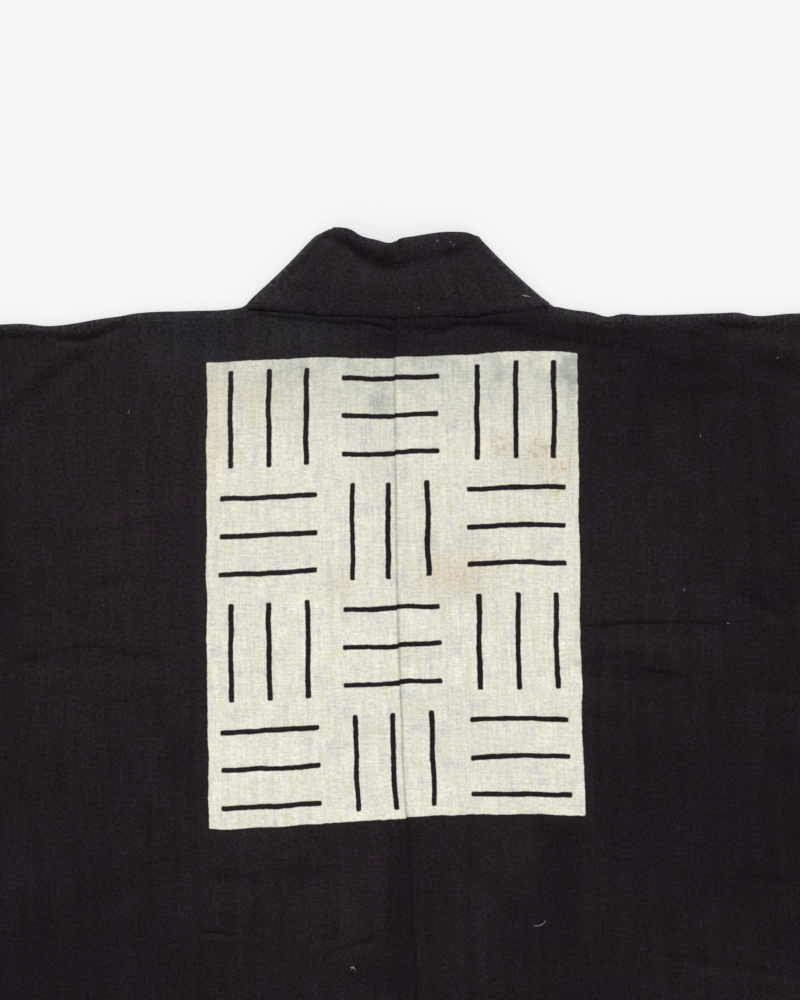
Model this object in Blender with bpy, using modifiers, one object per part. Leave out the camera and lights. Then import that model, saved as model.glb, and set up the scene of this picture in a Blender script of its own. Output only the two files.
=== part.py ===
"""Happi coat laid flat on a table, its back up and its collar band spread above the shoulders.

Metres, +Z up.  The coat is cut as it is sewn: two body panels, each one strip of cloth that
runs from the back hem over the shoulder to the front hem, two straight sleeves folded at the
top, and one doubled collar band that runs up one front edge, round the back of the neck and
down the other.  -X is the wearer's left, +Y is towards the collar, and the fronts rest on
Z = 0.  The origin is the middle of the coat's outline, on the table.

Plan sizes are written in coat coordinates first: X from the centre back seam and Y up from
the shoulder line.  lay() then sets them on the table.
"""

from collections import namedtuple

import bmesh
import bpy
import numpy as np

# Cut sizes of the coat.
BODY_HALF = 0.320  # centre back seam to armhole seam
LENGTH = 0.780  # shoulder line to hem
SLEEVE_LENGTH = 0.310  # armhole seam to cuff
SLEEVE_DEPTH = 0.300  # shoulder fold to underarm seam
NECK_HALF = 0.115  # centre back seam to the corner of the neck
NECK_LOW = -0.0055  # height of the neck seam at the centre back
NECK_RISE = 0.0085  # how far that seam climbs to the corner of the neck
COLLAR_WIDTH = 0.065
FRONT_GAP = 0.007  # between the two edges of the collar at the front hem

# Cloth, seams and layers.
CLOTH = 0.0012  # one layer of cotton
COLLAR_WALL = 0.0024  # the band is the same cotton, doubled
SEAM = 0.0003  # room left between pieces that are sewn together
CORNER_ROOM = 0.0018  # how far the band's seam stays inside the neck corner where both fold over
FRONT_Z = CLOTH / 2  # middle of the wall that lies on the table
STRIP_Z = COLLAR_WALL / 2  # middle of the band where it lies on the table
BACK_Z = 0.0026  # middle of the back layer where only a front panel is under it
SEWN_Z = CLOTH * 1.5 + SEAM  # the same where it lies pressed on the front panel
OVER_STRIP_Z = 0.0036  # the same where the collar band is under it
FOLD_Z = 0.0045  # the same along the shoulder fold and the neck seam
BAND_Z = 0.0048  # middle of the band behind the neck
ROLL = 0.016  # how far from the fold the back layer has sunk to its rest
STRIP_RAMP = 0.025  # width of the slope down from the collar band to the front panel
SEWN_PRESS = 0.012  # how far from a sewn edge the layers lie pressed together

# How the coat lies on the table.
SWAY = 0.025  # the hem lies this far towards +X
COLLAR_TOP = 0.0636  # highest point of the collar's outline

# Where the outline of the shoulders and sleeves runs: x across, y up from the shoulder line.
ShoulderPoint = namedtuple("ShoulderPoint", "x y")
SHOULDER = [
    ShoulderPoint(-0.630, -0.0150),
    ShoulderPoint(-0.420, -0.0105),
    ShoulderPoint(-0.298, -0.0092),
    ShoulderPoint(-0.262, -0.0102),
    ShoulderPoint(-0.226, -0.0053),
    ShoulderPoint(-0.190, -0.0003),
    ShoulderPoint(-0.136, 0.0019),
    ShoulderPoint(-0.115, 0.0046),
    ShoulderPoint(0.115, 0.0046),
    ShoulderPoint(0.134, 0.0008),
    ShoulderPoint(0.158, -0.0030),
    ShoulderPoint(0.172, -0.0013),
    ShoulderPoint(0.227, -0.0011),
    ShoulderPoint(0.254, 0.0000),
    ShoulderPoint(0.268, -0.0022),
    ShoulderPoint(0.300, -0.0010),
    ShoulderPoint(0.420, -0.0040),
    ShoulderPoint(0.630, -0.0100),
]

# The free edge of the collar band behind the neck, from one fold-over to the other.
EdgePoint = namedtuple("EdgePoint", "x y")
COLLAR_EDGE = [
    EdgePoint(-0.0545, 0.0610),
    EdgePoint(-0.0475, 0.0632),
    EdgePoint(-0.0410, 0.0626),
    EdgePoint(-0.0350, 0.0604),
    EdgePoint(-0.0290, 0.0566),
    EdgePoint(-0.0180, 0.0536),
    EdgePoint(-0.0060, 0.0516),
    EdgePoint(0.0000, 0.0546),
    EdgePoint(0.0140, 0.0574),
    EdgePoint(0.0320, 0.0597),
    EdgePoint(0.0470, 0.0598),
    EdgePoint(0.0530, 0.0572),
]

# The slack of the band gathers in one valley under its free edge.  y is the valley's bottom,
# depth how far it sinks, rim how far the free edge stands up above the band.
Valley = namedtuple("Valley", "x y depth rim")
COLLAR_VALLEY = [
    Valley(-0.056, 0.0600, 0.0000, 0.0000),
    Valley(-0.034, 0.0495, 0.0010, 0.0022),
    Valley(-0.016, 0.0375, 0.0022, 0.0038),
    Valley(-0.001, 0.0325, 0.0030, 0.0042),
    Valley(0.013, 0.0365, 0.0020, 0.0026),
    Valley(0.032, 0.0410, 0.0010, 0.0018),
    Valley(0.051, 0.0490, 0.0002, 0.0007),
    Valley(0.062, 0.0520, 0.0000, 0.0000),
]
VALLEY_WIDTH = 0.011

# At the neck corner the band folds over straight up the table, like the shoulder beside it, and
# it turns square to its own slanting fold over this share of its width.
CORNER_TURN = 1 / 3

# Folds of the back layer: each runs from (x0, y0) to (x1, y1) with its middle bowed sideways,
# and rises (or, below zero, sinks) by height with a soft edge of that width.  It fades in and
# out over FOLD_FADE of its run.
Fold = namedtuple("Fold", "name x0 y0 x1 y1 bow width height")
FOLDS = [
    Fold("left_shoulder_tuck", -0.200, -0.004, -0.300, -0.017, 0.008, 0.006, -0.0020),
    Fold("right_neck_dip", 0.104, -0.009, 0.192, -0.031, -0.002, 0.008, -0.0016),
    Fold("right_shoulder_drag", 0.262, -0.029, 0.345, -0.066, 0.004, 0.007, -0.0013),
    Fold("right_shoulder_ridge", 0.262, -0.042, 0.340, -0.086, 0.004, 0.012, 0.0011),
    Fold("left_blade_swell", -0.290, -0.110, -0.150, -0.060, 0.014, 0.030, 0.0009),
    Fold("left_side_swell", -0.250, -0.190, -0.235, -0.420, 0.020, 0.026, 0.0010),
    Fold("right_side_swell", 0.215, -0.150, 0.240, -0.380, -0.018, 0.026, 0.0009),
    Fold("waist_swell", -0.160, -0.500, 0.130, -0.455, 0.018, 0.024, 0.0009),
    Fold("left_hem_swell", -0.180, -0.560, -0.210, -0.770, 0.012, 0.028, 0.0012),
    Fold("right_hem_swell", 0.120, -0.560, 0.150, -0.770, -0.014, 0.030, 0.0012),
    Fold("left_underarm_drag", -0.290, -0.300, -0.410, -0.190, 0.012, 0.014, 0.0014),
    Fold("right_underarm_drag", 0.285, -0.310, 0.415, -0.180, -0.014, 0.014, 0.0014),
    Fold("left_sleeve_swell", -0.380, -0.070, -0.600, -0.110, 0.016, 0.024, 0.0012),
    Fold("left_cuff_swell", -0.480, -0.230, -0.620, -0.205, -0.010, 0.020, 0.0011),
    Fold("right_sleeve_swell", 0.400, -0.090, 0.600, -0.060, -0.018, 0.024, 0.0012),
    Fold("right_cuff_swell", 0.500, -0.190, 0.620, -0.235, 0.012, 0.020, 0.0011),
]

FOLD_FADE = 0.25

# How finely each piece is divided.
NECK_COLUMNS = 8
SHOULDER_COLUMNS = 13
BODY_BACK_ROWS = 36
BODY_FRONT_ROWS = 10
SLEEVE_COLUMNS = 12
SLEEVE_BACK_ROWS = 18
SLEEVE_FRONT_ROWS = 5
COLLAR_COLUMNS = 9
COLLAR_FRONT_ROWS = 12
COLLAR_BACK_ROWS = 28
FOLD_ROWS = 5
ROW_CROWDING = 1.5  # above 1, the back's rows crowd towards the shoulder

DYED_COTTON = (0.0176, 0.0130, 0.0152, 1.0)


def read_curve(x, rows, column):
    """A table's column at x, on a smooth curve through its rows."""
    at = np.array([row.x for row in rows])
    values = np.array([getattr(row, column) for row in rows])
    slopes = np.gradient(values, at)
    x = np.clip(x, at[0], at[-1])
    left = np.clip(np.searchsorted(at, x, side="right") - 1, 0, len(at) - 2)
    span = at[left + 1] - at[left]
    share = (x - at[left]) / span
    near = (1.0 + 2.0 * share) * values[left] + share * span * slopes[left]
    far = (3.0 - 2.0 * share) * values[left + 1] + (share - 1.0) * span * slopes[left + 1]
    return (1.0 - share) ** 2 * near + share**2 * far


def smooth(share):
    """0 to 1 with flat ends."""
    share = np.clip(share, 0.0, 1.0)
    return share * share * (3.0 - 2.0 * share)


def shoulder_line(x):
    """Outline of the shoulder fold at x."""
    return read_curve(x, SHOULDER, "y")


def neck_seam(x):
    """The seam between collar and back, a shallow bow across the neck."""
    return NECK_LOW + NECK_RISE * (x / NECK_HALF) ** 2


def front_seam(y):
    """Distance from the centre of the seam between a front panel and the collar band."""
    at_hem = FRONT_GAP / 2 + COLLAR_WIDTH
    return NECK_HALF + (at_hem - NECK_HALF) * np.clip(-y / LENGTH, 0.0, 1.0)


def fold_height(x, y):
    """How far all the folds together lift the back layer at a point."""
    total = np.zeros(np.broadcast(x, y).shape)
    for fold in FOLDS:
        run = np.array([fold.x1 - fold.x0, fold.y1 - fold.y0])
        long = np.hypot(*run)
        along = ((x - fold.x0) * run[0] + (y - fold.y0) * run[1]) / long**2
        across = ((y - fold.y0) * run[0] - (x - fold.x0) * run[1]) / long
        arch = 4.0 * along * (1.0 - along)
        off = across - fold.bow * arch
        ends = smooth(along / FOLD_FADE) * smooth((1.0 - along) / FOLD_FADE)
        total += fold.height * ends * np.exp(-((off / fold.width) ** 2))
    return total


def from_sewn_edge(x, y):
    """Distance to where back and front are sewn together: the side seam and under the arm."""
    beside = BODY_HALF - np.abs(x)
    above = y + SLEEVE_DEPTH
    in_sleeve = beside < 0.0
    below_sleeve = above < 0.0
    around = np.hypot(beside, above)
    return np.where(in_sleeve, np.abs(above), np.where(below_sleeve, beside, around))


def back_height(x, y):
    """Middle of the back layer: pressed at sewn edges, over the collar strip, up at the fold."""
    over_strip = smooth((front_seam(y) + STRIP_RAMP - np.abs(x)) / STRIP_RAMP)
    pressed = np.exp(-((from_sewn_edge(x, y) / SEWN_PRESS) ** 2))
    rest = BACK_Z + (OVER_STRIP_Z - BACK_Z) * over_strip + (SEWN_Z - BACK_Z) * pressed
    top = np.where(np.abs(x) < NECK_HALF, neck_seam(x), shoulder_line(x))
    rise = (FOLD_Z - rest) * np.exp(-(((top - y) / ROLL) ** 2))
    lowest = SEWN_Z + (COLLAR_WALL - CLOTH) * over_strip
    return np.maximum(rest + rise + fold_height(x, y), lowest)


def lay(x, y, z):
    """Coat coordinates to places on the table: the hem sways aside, the middle is the origin."""
    sideways = SWAY * (np.minimum(y, 0.0) / LENGTH) ** 2
    centred = SWAY * (SLEEVE_DEPTH / LENGTH) ** 2 / 2
    up = (LENGTH - COLLAR_TOP) / 2
    return np.stack(np.broadcast_arrays(x + sideways - centred, y + up, z), axis=-1)


def turned_over(x, top_z, edge):
    """Rows of a fold round the shoulder: half a ring from the back layer to the front layer."""
    radius = (top_z - FRONT_Z) / 2
    angles = np.pi / 2 - np.pi * np.arange(1, FOLD_ROWS) / FOLD_ROWS
    return [lay(x, edge + radius * np.cos(a), FRONT_Z + radius * (1 + np.sin(a))) for a in angles]


def folded_layer(x, bottom_y, top_y, count):
    """Rows of the back layer from its lower edge up, crowding towards the top."""
    up = 1.0 - (1.0 - np.linspace(0.0, 1.0, count + 1)) ** ROW_CROWDING
    rows = []
    for share in up:
        y = bottom_y + (top_y - bottom_y) * share
        rows.append(lay(x, y, back_height(x, y)))
    return rows


def fold_edge(x):
    """Middle of the wall at the shoulder fold, inside the outline by the fold's own radius."""
    outline = shoulder_line(x)
    radius = (back_height(x, outline) - FRONT_Z) / 2
    return outline - radius - CLOTH / 2


def body_sheet(side):
    """Places of one body panel, and which of them don't exist: a front panel has no neck."""
    neck = np.linspace(SEAM / 2, NECK_HALF, NECK_COLUMNS + 1)
    shoulder = np.linspace(NECK_HALF, BODY_HALF - SEAM / 2, SHOULDER_COLUMNS + 1)
    x = side * np.concatenate([neck, shoulder[1:]])
    over_neck = np.arange(len(x)) < NECK_COLUMNS
    edge = fold_edge(x)
    top = np.where(over_neck, neck_seam(x) - SEAM, edge)
    rows = folded_layer(x, -LENGTH, top, BODY_BACK_ROWS)
    rows += turned_over(x, back_height(x, edge), edge)
    across = np.clip((np.abs(x) - NECK_HALF) / (shoulder[-1] - NECK_HALF), 0.0, 1.0)
    for share in np.linspace(0.0, 1.0, BODY_FRONT_ROWS + 1):
        y = edge + (-LENGTH - edge) * share
        inner = front_seam(y)
        rows.append(lay(side * (inner + (shoulder[-1] - inner) * across), y, FRONT_Z))
    missing = np.zeros((len(rows), len(x)), bool)
    missing[BODY_BACK_ROWS + 1 :] = over_neck
    return np.array(rows), missing


def sleeve_sheet(side):
    """Places of one sleeve: a strip folded at the shoulder, its edges meeting under the arm."""
    x = side * np.linspace(BODY_HALF + SEAM / 2, BODY_HALF + SLEEVE_LENGTH, SLEEVE_COLUMNS + 1)
    edge = fold_edge(x)
    rows = folded_layer(x, -SLEEVE_DEPTH, edge, SLEEVE_BACK_ROWS)
    rows += turned_over(x, back_height(x, edge), edge)
    for share in np.linspace(0.0, 1.0, SLEEVE_FRONT_ROWS + 1):
        rows.append(lay(x, edge + (-SLEEVE_DEPTH - edge) * share, FRONT_Z))
    return np.array(rows), None


def band_height(x, y):
    """Middle of the band behind the neck, with the valley that its slack gathers in."""
    above = y - read_curve(x, COLLAR_VALLEY, "y")
    room = read_curve(x, COLLAR_EDGE, "y") - read_curve(x, COLLAR_VALLEY, "y")
    sunk = read_curve(x, COLLAR_VALLEY, "depth") * np.exp(-((above / VALLEY_WIDTH) ** 2))
    stood = read_curve(x, COLLAR_VALLEY, "rim") * smooth(above / np.maximum(room, CLOTH))
    return BAND_Z - sunk + stood


def band_turn(seam, free, across, outwards):
    """Rows of the band's fold-over, half a ring round the slanting line from seam to free."""
    radius = (BAND_Z - STRIP_Z) / 2
    line = seam + (free - seam) * across[:, None]
    square = smooth(across / CORNER_TURN)
    lean = np.stack([outwards[0] * square, np.full(len(across), outwards[1])], axis=-1)
    lean /= np.linalg.norm(lean, axis=1)[:, None]
    rows = []
    for angle in -np.pi / 2 + np.pi * np.arange(1, FOLD_ROWS) / FOLD_ROWS:
        place = line + lean * radius * np.cos(angle)
        rows.append(lay(place[:, 0], place[:, 1], STRIP_Z + radius * (1 + np.sin(angle))))
    return rows


def collar_sheet():
    """Places of the collar band, from the wearer's left front hem round the neck to the right."""
    across = np.linspace(0.0, 1.0, COLLAR_COLUMNS + 1)
    corner_x = NECK_HALF - CORNER_ROOM
    corner_y = fold_edge(np.array([NECK_HALF]))[0]
    ends = {-1: COLLAR_EDGE[0], 1: COLLAR_EDGE[-1]}
    front, turn = {}, {}
    for side, end in ends.items():
        seam = np.array([side * corner_x, corner_y])
        free = np.array([end.x, end.y])
        hem_seam = np.array([side * (front_seam(-LENGTH) - SEAM), -LENGTH])
        hem_free = np.array([side * FRONT_GAP / 2, -LENGTH])
        front[side] = []
        for share in np.linspace(0.0, 1.0, COLLAR_FRONT_ROWS + 1):
            y = hem_seam[1] + (seam[1] - hem_seam[1]) * share
            inner = hem_free + (free - hem_free) * share
            outer = np.array([side * min(front_seam(y) - SEAM, corner_x), y])
            line = outer + (inner - outer) * across[:, None]
            front[side].append(lay(line[:, 0], line[:, 1], STRIP_Z))
        slant = free - seam
        outwards = np.array([side * slant[1], abs(slant[0])]) / np.linalg.norm(slant)
        turn[side] = band_turn(seam, free, across, outwards)
    back = []
    seam_x = np.linspace(-corner_x, corner_x, COLLAR_BACK_ROWS + 1)
    free_x = np.linspace(COLLAR_EDGE[0].x, COLLAR_EDGE[-1].x, COLLAR_BACK_ROWS + 1)
    for outer_x, inner_x in zip(seam_x, free_x):
        x = outer_x + (inner_x - outer_x) * across
        outer_y = min(neck_seam(outer_x), corner_y)
        inner_y = read_curve(np.array([inner_x]), COLLAR_EDGE, "y")[0]
        y = outer_y + (inner_y - outer_y) * across
        back.append(lay(x, y, band_height(x, y)))
    rows = front[-1] + turn[-1] + back + turn[1][::-1] + front[1][::-1]
    return np.array(rows), None


def dyed_cotton(name):
    """A matt dark cotton."""
    material = bpy.data.materials.new(name)
    material.use_nodes = True
    shader = material.node_tree.nodes["Principled BSDF"]
    shader.inputs["Base Color"].default_value = DYED_COTTON
    shader.inputs["Roughness"].default_value = 0.9
    shader.inputs["Metallic"].default_value = 0.0
    return material


def cloth_object(name, sheet, wall, collection):
    """A grid bent to the sheet's places and given its wall, half to each side."""
    places, missing = sheet
    rows, columns = places.shape[:2]
    grid = bmesh.new()
    bmesh.ops.create_grid(grid, x_segments=columns - 1, y_segments=rows - 1, size=1.0)
    grid.verts.ensure_lookup_table()
    for vertex, place in zip(grid.verts, places.reshape(-1, 3)):
        vertex.co = place
    if missing is not None:
        gone = [grid.verts[i] for i in np.flatnonzero(missing)]
        bmesh.ops.delete(grid, geom=gone, context="VERTS")
    mesh = bpy.data.meshes.new(name)
    grid.to_mesh(mesh)
    grid.free()
    mesh.shade_smooth()
    mesh.materials.append(dyed_cotton(name + "_cotton"))
    cloth = bpy.data.objects.new(name, mesh)
    collection.objects.link(cloth)
    thickness = cloth.modifiers.new("wall", "SOLIDIFY")
    thickness.thickness = wall
    thickness.offset = 0.0
    thickness.use_even_offset = True
    return cloth


def main():
    for leftover in list(bpy.data.objects):
        bpy.data.objects.remove(leftover)
    coat = bpy.data.collections.new("happi_coat")
    bpy.context.scene.collection.children.link(coat)
    cloth_object("body_left", body_sheet(-1), CLOTH, coat)
    cloth_object("body_right", body_sheet(1), CLOTH, coat)
    cloth_object("sleeve_left", sleeve_sheet(-1), CLOTH, coat)
    cloth_object("sleeve_right", sleeve_sheet(1), CLOTH, coat)
    cloth_object("collar", collar_sheet(), COLLAR_WALL, coat)


main()
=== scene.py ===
"""Looks of a happi coat that lies flat on a table with its back up.

Every piece is a sheet worked out in coat coordinates: x from the centre back seam, y up from the
shoulder line, both in metres.  TableLay then gives each point its height above the table and its
place in the frame.  The coat is cut as it is sewn: two body panels, each one strip folded over
the shoulder, two straight sleeves folded at the top, and one doubled collar band that runs up one
front edge, round the back of the neck and down the other.
"""

import logging
import math
from collections.abc import Sequence
from dataclasses import dataclass
from enum import Enum
from typing import ClassVar

import bpy
import numpy as np
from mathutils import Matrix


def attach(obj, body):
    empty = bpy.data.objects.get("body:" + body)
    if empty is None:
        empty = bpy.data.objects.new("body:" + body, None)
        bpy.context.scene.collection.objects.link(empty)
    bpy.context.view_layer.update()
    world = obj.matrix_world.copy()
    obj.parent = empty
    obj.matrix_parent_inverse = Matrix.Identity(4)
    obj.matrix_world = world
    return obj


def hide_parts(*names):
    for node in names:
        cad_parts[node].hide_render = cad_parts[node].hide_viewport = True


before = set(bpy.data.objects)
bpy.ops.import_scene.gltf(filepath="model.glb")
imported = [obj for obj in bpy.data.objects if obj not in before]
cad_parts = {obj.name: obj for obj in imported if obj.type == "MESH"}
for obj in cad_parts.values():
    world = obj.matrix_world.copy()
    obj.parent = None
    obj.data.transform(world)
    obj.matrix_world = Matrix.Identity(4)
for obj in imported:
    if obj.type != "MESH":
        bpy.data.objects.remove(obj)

Array = np.ndarray
Socket = bpy.types.NodeSocket
log = logging.getLogger("happi_coat")

Colour = tuple[float, float, float, float]
TABLE_TOP = "table_top"
WEAVE_UV = "weave"
BLOCK_UV = "block"


class Side(Enum):
    """Which half of the coat a piece belongs to, as the sign of its x."""

    LEFT = -1
    RIGHT = 1


class Slot(Enum):
    """The finishes that the coat's record names."""

    COTTON = "dyed_cotton"
    COLLAR = "collar_cotton"


class Mark(Enum):
    """What the cloth tells its finish at each of its points: 0 is none of it, 1 or more all."""

    WORN = "worn"
    FADED = "faded"
    # Fading, taken down where shade is painted: in the centre seam, along the neck seam and in the
    # creases under it.
    SUNNED = "sunned"
    # Dirt on the cream, and the shade painted in the centre seam and beside it over the pressed
    # ridge.
    SMUDGED = "smudged"
    STAINED = "stained"
    RUSTY = "rusty"


# --- Shapes as functions ---


def smooth(share: Array) -> Array:
    """0 to 1 with flat ends: 3 s squared less 2 s cubed."""
    share = np.clip(share, 0.0, 1.0)
    return share * share * (3.0 - 2.0 * share)


def bell(offset: Array, width: Array | float) -> Array:
    """1 at no offset and falling off over the width: e to the minus (offset / width) squared."""
    return np.exp(-((offset / width) ** 2))


def crowd(
    start: float, end: float, coarse: float, fine: float,
    places: Sequence[float], reach: float, samples: int = 4001,
) -> Array:
    """Positions from start to end that lie closer together near some places.

    The local step is the coarse one, brought down to the fine one by a bell round each place.
    The positions are where the running sum of one over the step reaches equal shares.

    Args:
        start: First position.
        end: Last position, greater than start.
        coarse: Step far from the places.
        fine: Step at a place.
        places: Where the positions crowd.
        reach: Width of the bell round a place.
        samples: At how many points the step is worked out.

    Returns:
        The positions, from start to end.
    """
    track = np.linspace(start, end, samples)
    near = np.max(bell(track[:, None] - np.asarray(places), reach), axis=1)
    density = 1.0 / (coarse + (fine - coarse) * near)
    passed = np.concatenate([[0.0], np.cumsum((density[1:] + density[:-1]) / 2 * np.diff(track))])
    count = int(math.ceil(passed[-1]))
    return np.interp(np.linspace(0.0, passed[-1], count + 1), passed, track)


@dataclass(frozen=True)
class Track:
    """A smooth curve through a few (x, value) points."""

    points: tuple[tuple[float, float], ...]

    def at(self, x: Array) -> Array:
        """Value at x: cubic between neighbours, with the slopes of the points round them.

        Args:
            x: Where to take it; past the ends, the end's value holds.

        Returns:
            A value for each x.
        """
        across, values = np.array(self.points).T
        slopes = np.gradient(values, across)
        x = np.clip(x, across[0], across[-1])
        left = np.clip(np.searchsorted(across, x, side="right") - 1, 0, len(across) - 2)
        span = across[left + 1] - across[left]
        share = (x - across[left]) / span
        near = (1.0 + 2.0 * share) * values[left] + share * span * slopes[left]
        far = (3.0 - 2.0 * share) * values[left + 1] + (share - 1.0) * span * slopes[left + 1]
        return (1.0 - share) ** 2 * near + share**2 * far


@dataclass(frozen=True)
class Crease:
    """A soft ridge or trough of the back layer, from start to end."""

    name: str
    start: tuple[float, float]
    end: tuple[float, float]
    # How far its middle lies to the left of the straight line, looking from start to end.
    bow: float
    width: float  # half width of its side on the left
    height: float  # how far it rises, or, below zero, sinks
    lean: float = 1.0  # how many times as wide it is on the right
    fade: ClassVar[float] = 0.25  # share of its length over which it fades at each end

    def at(self, x: Array, y: Array) -> Array:
        """Height at a point: a bell across the bowed line, faded in and out along it.

        The line bows as a parabola: 4 s (1 - s) of the bow at share s of its length.

        Args:
            x, y: Where on the coat, across and up.

        Returns:
            The height at each point, below zero in a trough.
        """
        run_x, run_y = self.end[0] - self.start[0], self.end[1] - self.start[1]
        long = math.hypot(run_x, run_y)
        along = ((x - self.start[0]) * run_x + (y - self.start[1]) * run_y) / long**2
        across = ((y - self.start[1]) * run_x - (x - self.start[0]) * run_y) / long
        arch = 4.0 * along * (1.0 - along)
        off = across - self.bow * arch
        width = np.where(off > 0.0, self.width, self.width * self.lean)
        ends = smooth(along / self.fade) * smooth((1.0 - along) / self.fade)
        return self.height * ends * bell(off, width)


@dataclass(frozen=True)
class Ripple:
    """Uneven ground that cloth shows everywhere: many low sine waves in all directions."""

    wavelength: float  # middle length of the waves
    height: float  # how high they stand together
    waves: int
    seed: int  # starts the draw of their headings, lengths and phases
    shortest: ClassVar[float] = 0.6  # length of the shortest wave, in wavelengths
    spread: ClassVar[float] = 0.8  # how much longer the longest is, in wavelengths

    def at(self, x: Array, y: Array) -> Array:
        """Height at a point: the sum of the waves over the square root of their number.

        Args:
            x, y: Where on the coat, across and up.

        Returns:
            The height at each point.
        """
        rng = np.random.default_rng(self.seed)
        total = np.zeros(np.broadcast(x, y).shape)
        for turn, stretch, start in rng.random((self.waves, 3)):
            heading = math.pi * turn
            pace = 2.0 * math.pi / (self.wavelength * (self.shortest + self.spread * stretch))
            along = x * math.cos(heading) + y * math.sin(heading)
            total += np.sin(along * pace + 2.0 * math.pi * start)
        return total * self.height / math.sqrt(self.waves)


@dataclass(frozen=True)
class Patch:
    """A soft-edged patch on the flat cloth."""

    centre: tuple[float, float]
    reach: tuple[float, float]  # how far it reaches across and along
    strength: float  # in the middle

    def at(self, x: Array, y: Array) -> Array:
        """Value at a point, falling smoothly from the middle to nothing at the reach."""
        across = (x - self.centre[0]) / self.reach[0]
        along = (y - self.centre[1]) / self.reach[1]
        return self.strength * (1.0 - smooth(np.hypot(across, along)))


def patch_table(*rows: tuple[float, float, float, float, float]) -> tuple[Patch, ...]:
    """Patches from rows of x, y, reach across, reach along and strength."""
    return tuple(Patch(row[:2], row[2:4], row[4]) for row in rows)


@dataclass(frozen=True)
class Touch:
    """A change of the cloth along a line, such as a fold, a seam or an edge."""

    strength: float  # its value on the line
    reach: float  # how far from the line it falls off

    def at(self, offset: Array) -> Array:
        """Value at a distance from the line."""
        return self.strength * bell(offset, self.reach)


def strongest(patches: Sequence[Patch], x: Array, y: Array) -> Array:
    """Greatest value of some patches at a point."""
    return np.max([patch.at(x, y) for patch in patches], axis=0)


# --- The coat's cut and how it lies ---


@dataclass(frozen=True)
class CoatDraft:
    """Finished sizes of the coat's cut."""

    body_half: float = 0.320  # width of one half of the body
    length: float = 0.780  # from the shoulder line to the hem
    sleeve_length: float = 0.310  # from the armhole seam to the cuff
    sleeve_depth: float = 0.300  # from the shoulder line to the seam under the arm
    neck_half: float = 0.113
    neck_low: float = -0.0045  # where the middle of the neck seam is, from the shoulder line
    neck_rise: float = 0.0083  # how much higher the neck seam is at its corners
    collar_width: float = 0.065  # width of the doubled band
    front_gap: float = 0.007  # between the two ends of the band at the front hem
    hem: float = 0.013  # depth of the turned-up hem and cuffs
    allowance: float = 0.009  # width of the pressed seam allowances
    neck_allowance: float = 0.006  # width of the one at the neck seam, under the band
    corner_run: float = 0.0010  # how far past the neck corner that allowance would run out
    corner_taper: float = 0.8  # how steeply it runs out there
    cloth: float = 0.0012  # thickness of one layer of cloth
    collar_wall: float = 0.0024  # thickness of the doubled band
    seam: float = 0.0004  # gap between two pieces at a seam
    # Outline of the shoulder folds, as y for each x.
    shoulder: Track = Track((
        (-0.63, -0.015), (-0.42, -0.0105), (-0.299, -0.0093), (-0.281, -0.0088), (-0.263, -0.01),
        (-0.245, -0.0083), (-0.227, -0.0053), (-0.209, -0.0025), (-0.191, -0.0003),
        (-0.155, 0.0009), (-0.128, 0.002), (-0.119, 0.0034), (-0.1152, 0.0046), (-0.1125, 0.0068),
        (0.1125, 0.0066), (0.1152, 0.0046), (0.1205, 0.0036), (0.127, 0.002), (0.145, -0.0004),
        (0.1575, -0.0036), (0.166, -0.0015), (0.181, -0.002), (0.223, -0.0011), (0.246, -0.0005),
        (0.253, -0.0002), (0.265, -0.0025), (0.295, -0.001), (0.42, -0.004), (0.63, -0.01),
    ))
    # How the neck seam strays from its bow.
    pucker: Track = Track((
        (-0.113, -0.0004), (-0.069, 0.0002), (-0.0515, -0.0006), (-0.04, 0.0002), (-0.02, 0.0004),
        (0.0, -0.0003), (0.012, 0.0002), (0.03, 0.0006), (0.048, 0.0), (0.058, -0.0006),
        (0.066, 0.0006), (0.078, 0.0002), (0.113, 0.0004),
    ))
    # Free edge of the band behind the neck, as y for each x.
    collar_edge: Track = Track((
        (-0.0504, 0.0614), (-0.0466, 0.0627), (-0.0409, 0.0625), (-0.0349, 0.0607),
        (-0.0289, 0.0568), (-0.0169, 0.0532), (-0.0049, 0.0512), (0.0011, 0.0541), (0.0131, 0.0564),
        (0.0311, 0.0591), (0.045, 0.0594), (0.0514, 0.0589), (0.057, 0.0571),
    ))

    def neck_seam(self, x: Array) -> Array:
        """The seam between collar and back: a shallow bow that climbs as x squared, puckered."""
        return self.neck_low + self.neck_rise * (x / self.neck_half) ** 2 + self.pucker.at(x)

    def neck_edge(self, x: Array) -> Array:
        """The cut edge of the back, which runs on under the collar except near its corners."""
        to_corner = self.neck_half + self.corner_run - np.abs(x)
        return self.neck_seam(x) + np.clip(to_corner * self.corner_taper, 0.0, self.neck_allowance)

    def front_seam(self, y: Array) -> Array:
        """Distance from the centre of the seam between a front panel and the collar."""
        at_hem = self.front_gap / 2 + self.collar_width
        return self.neck_half + (at_hem - self.neck_half) * np.clip(-y / self.length, 0.0, 1.0)

    def body_area(self) -> float:
        """Flat area of one body panel: the strip less the neck and the front opening.

        Returns:
            The area in square metres.
        """
        strip = 2 * self.body_half * self.length
        opening = self.length * (self.front_seam(0.0) + self.front_seam(-self.length)) / 2
        return float(strip - opening)


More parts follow.
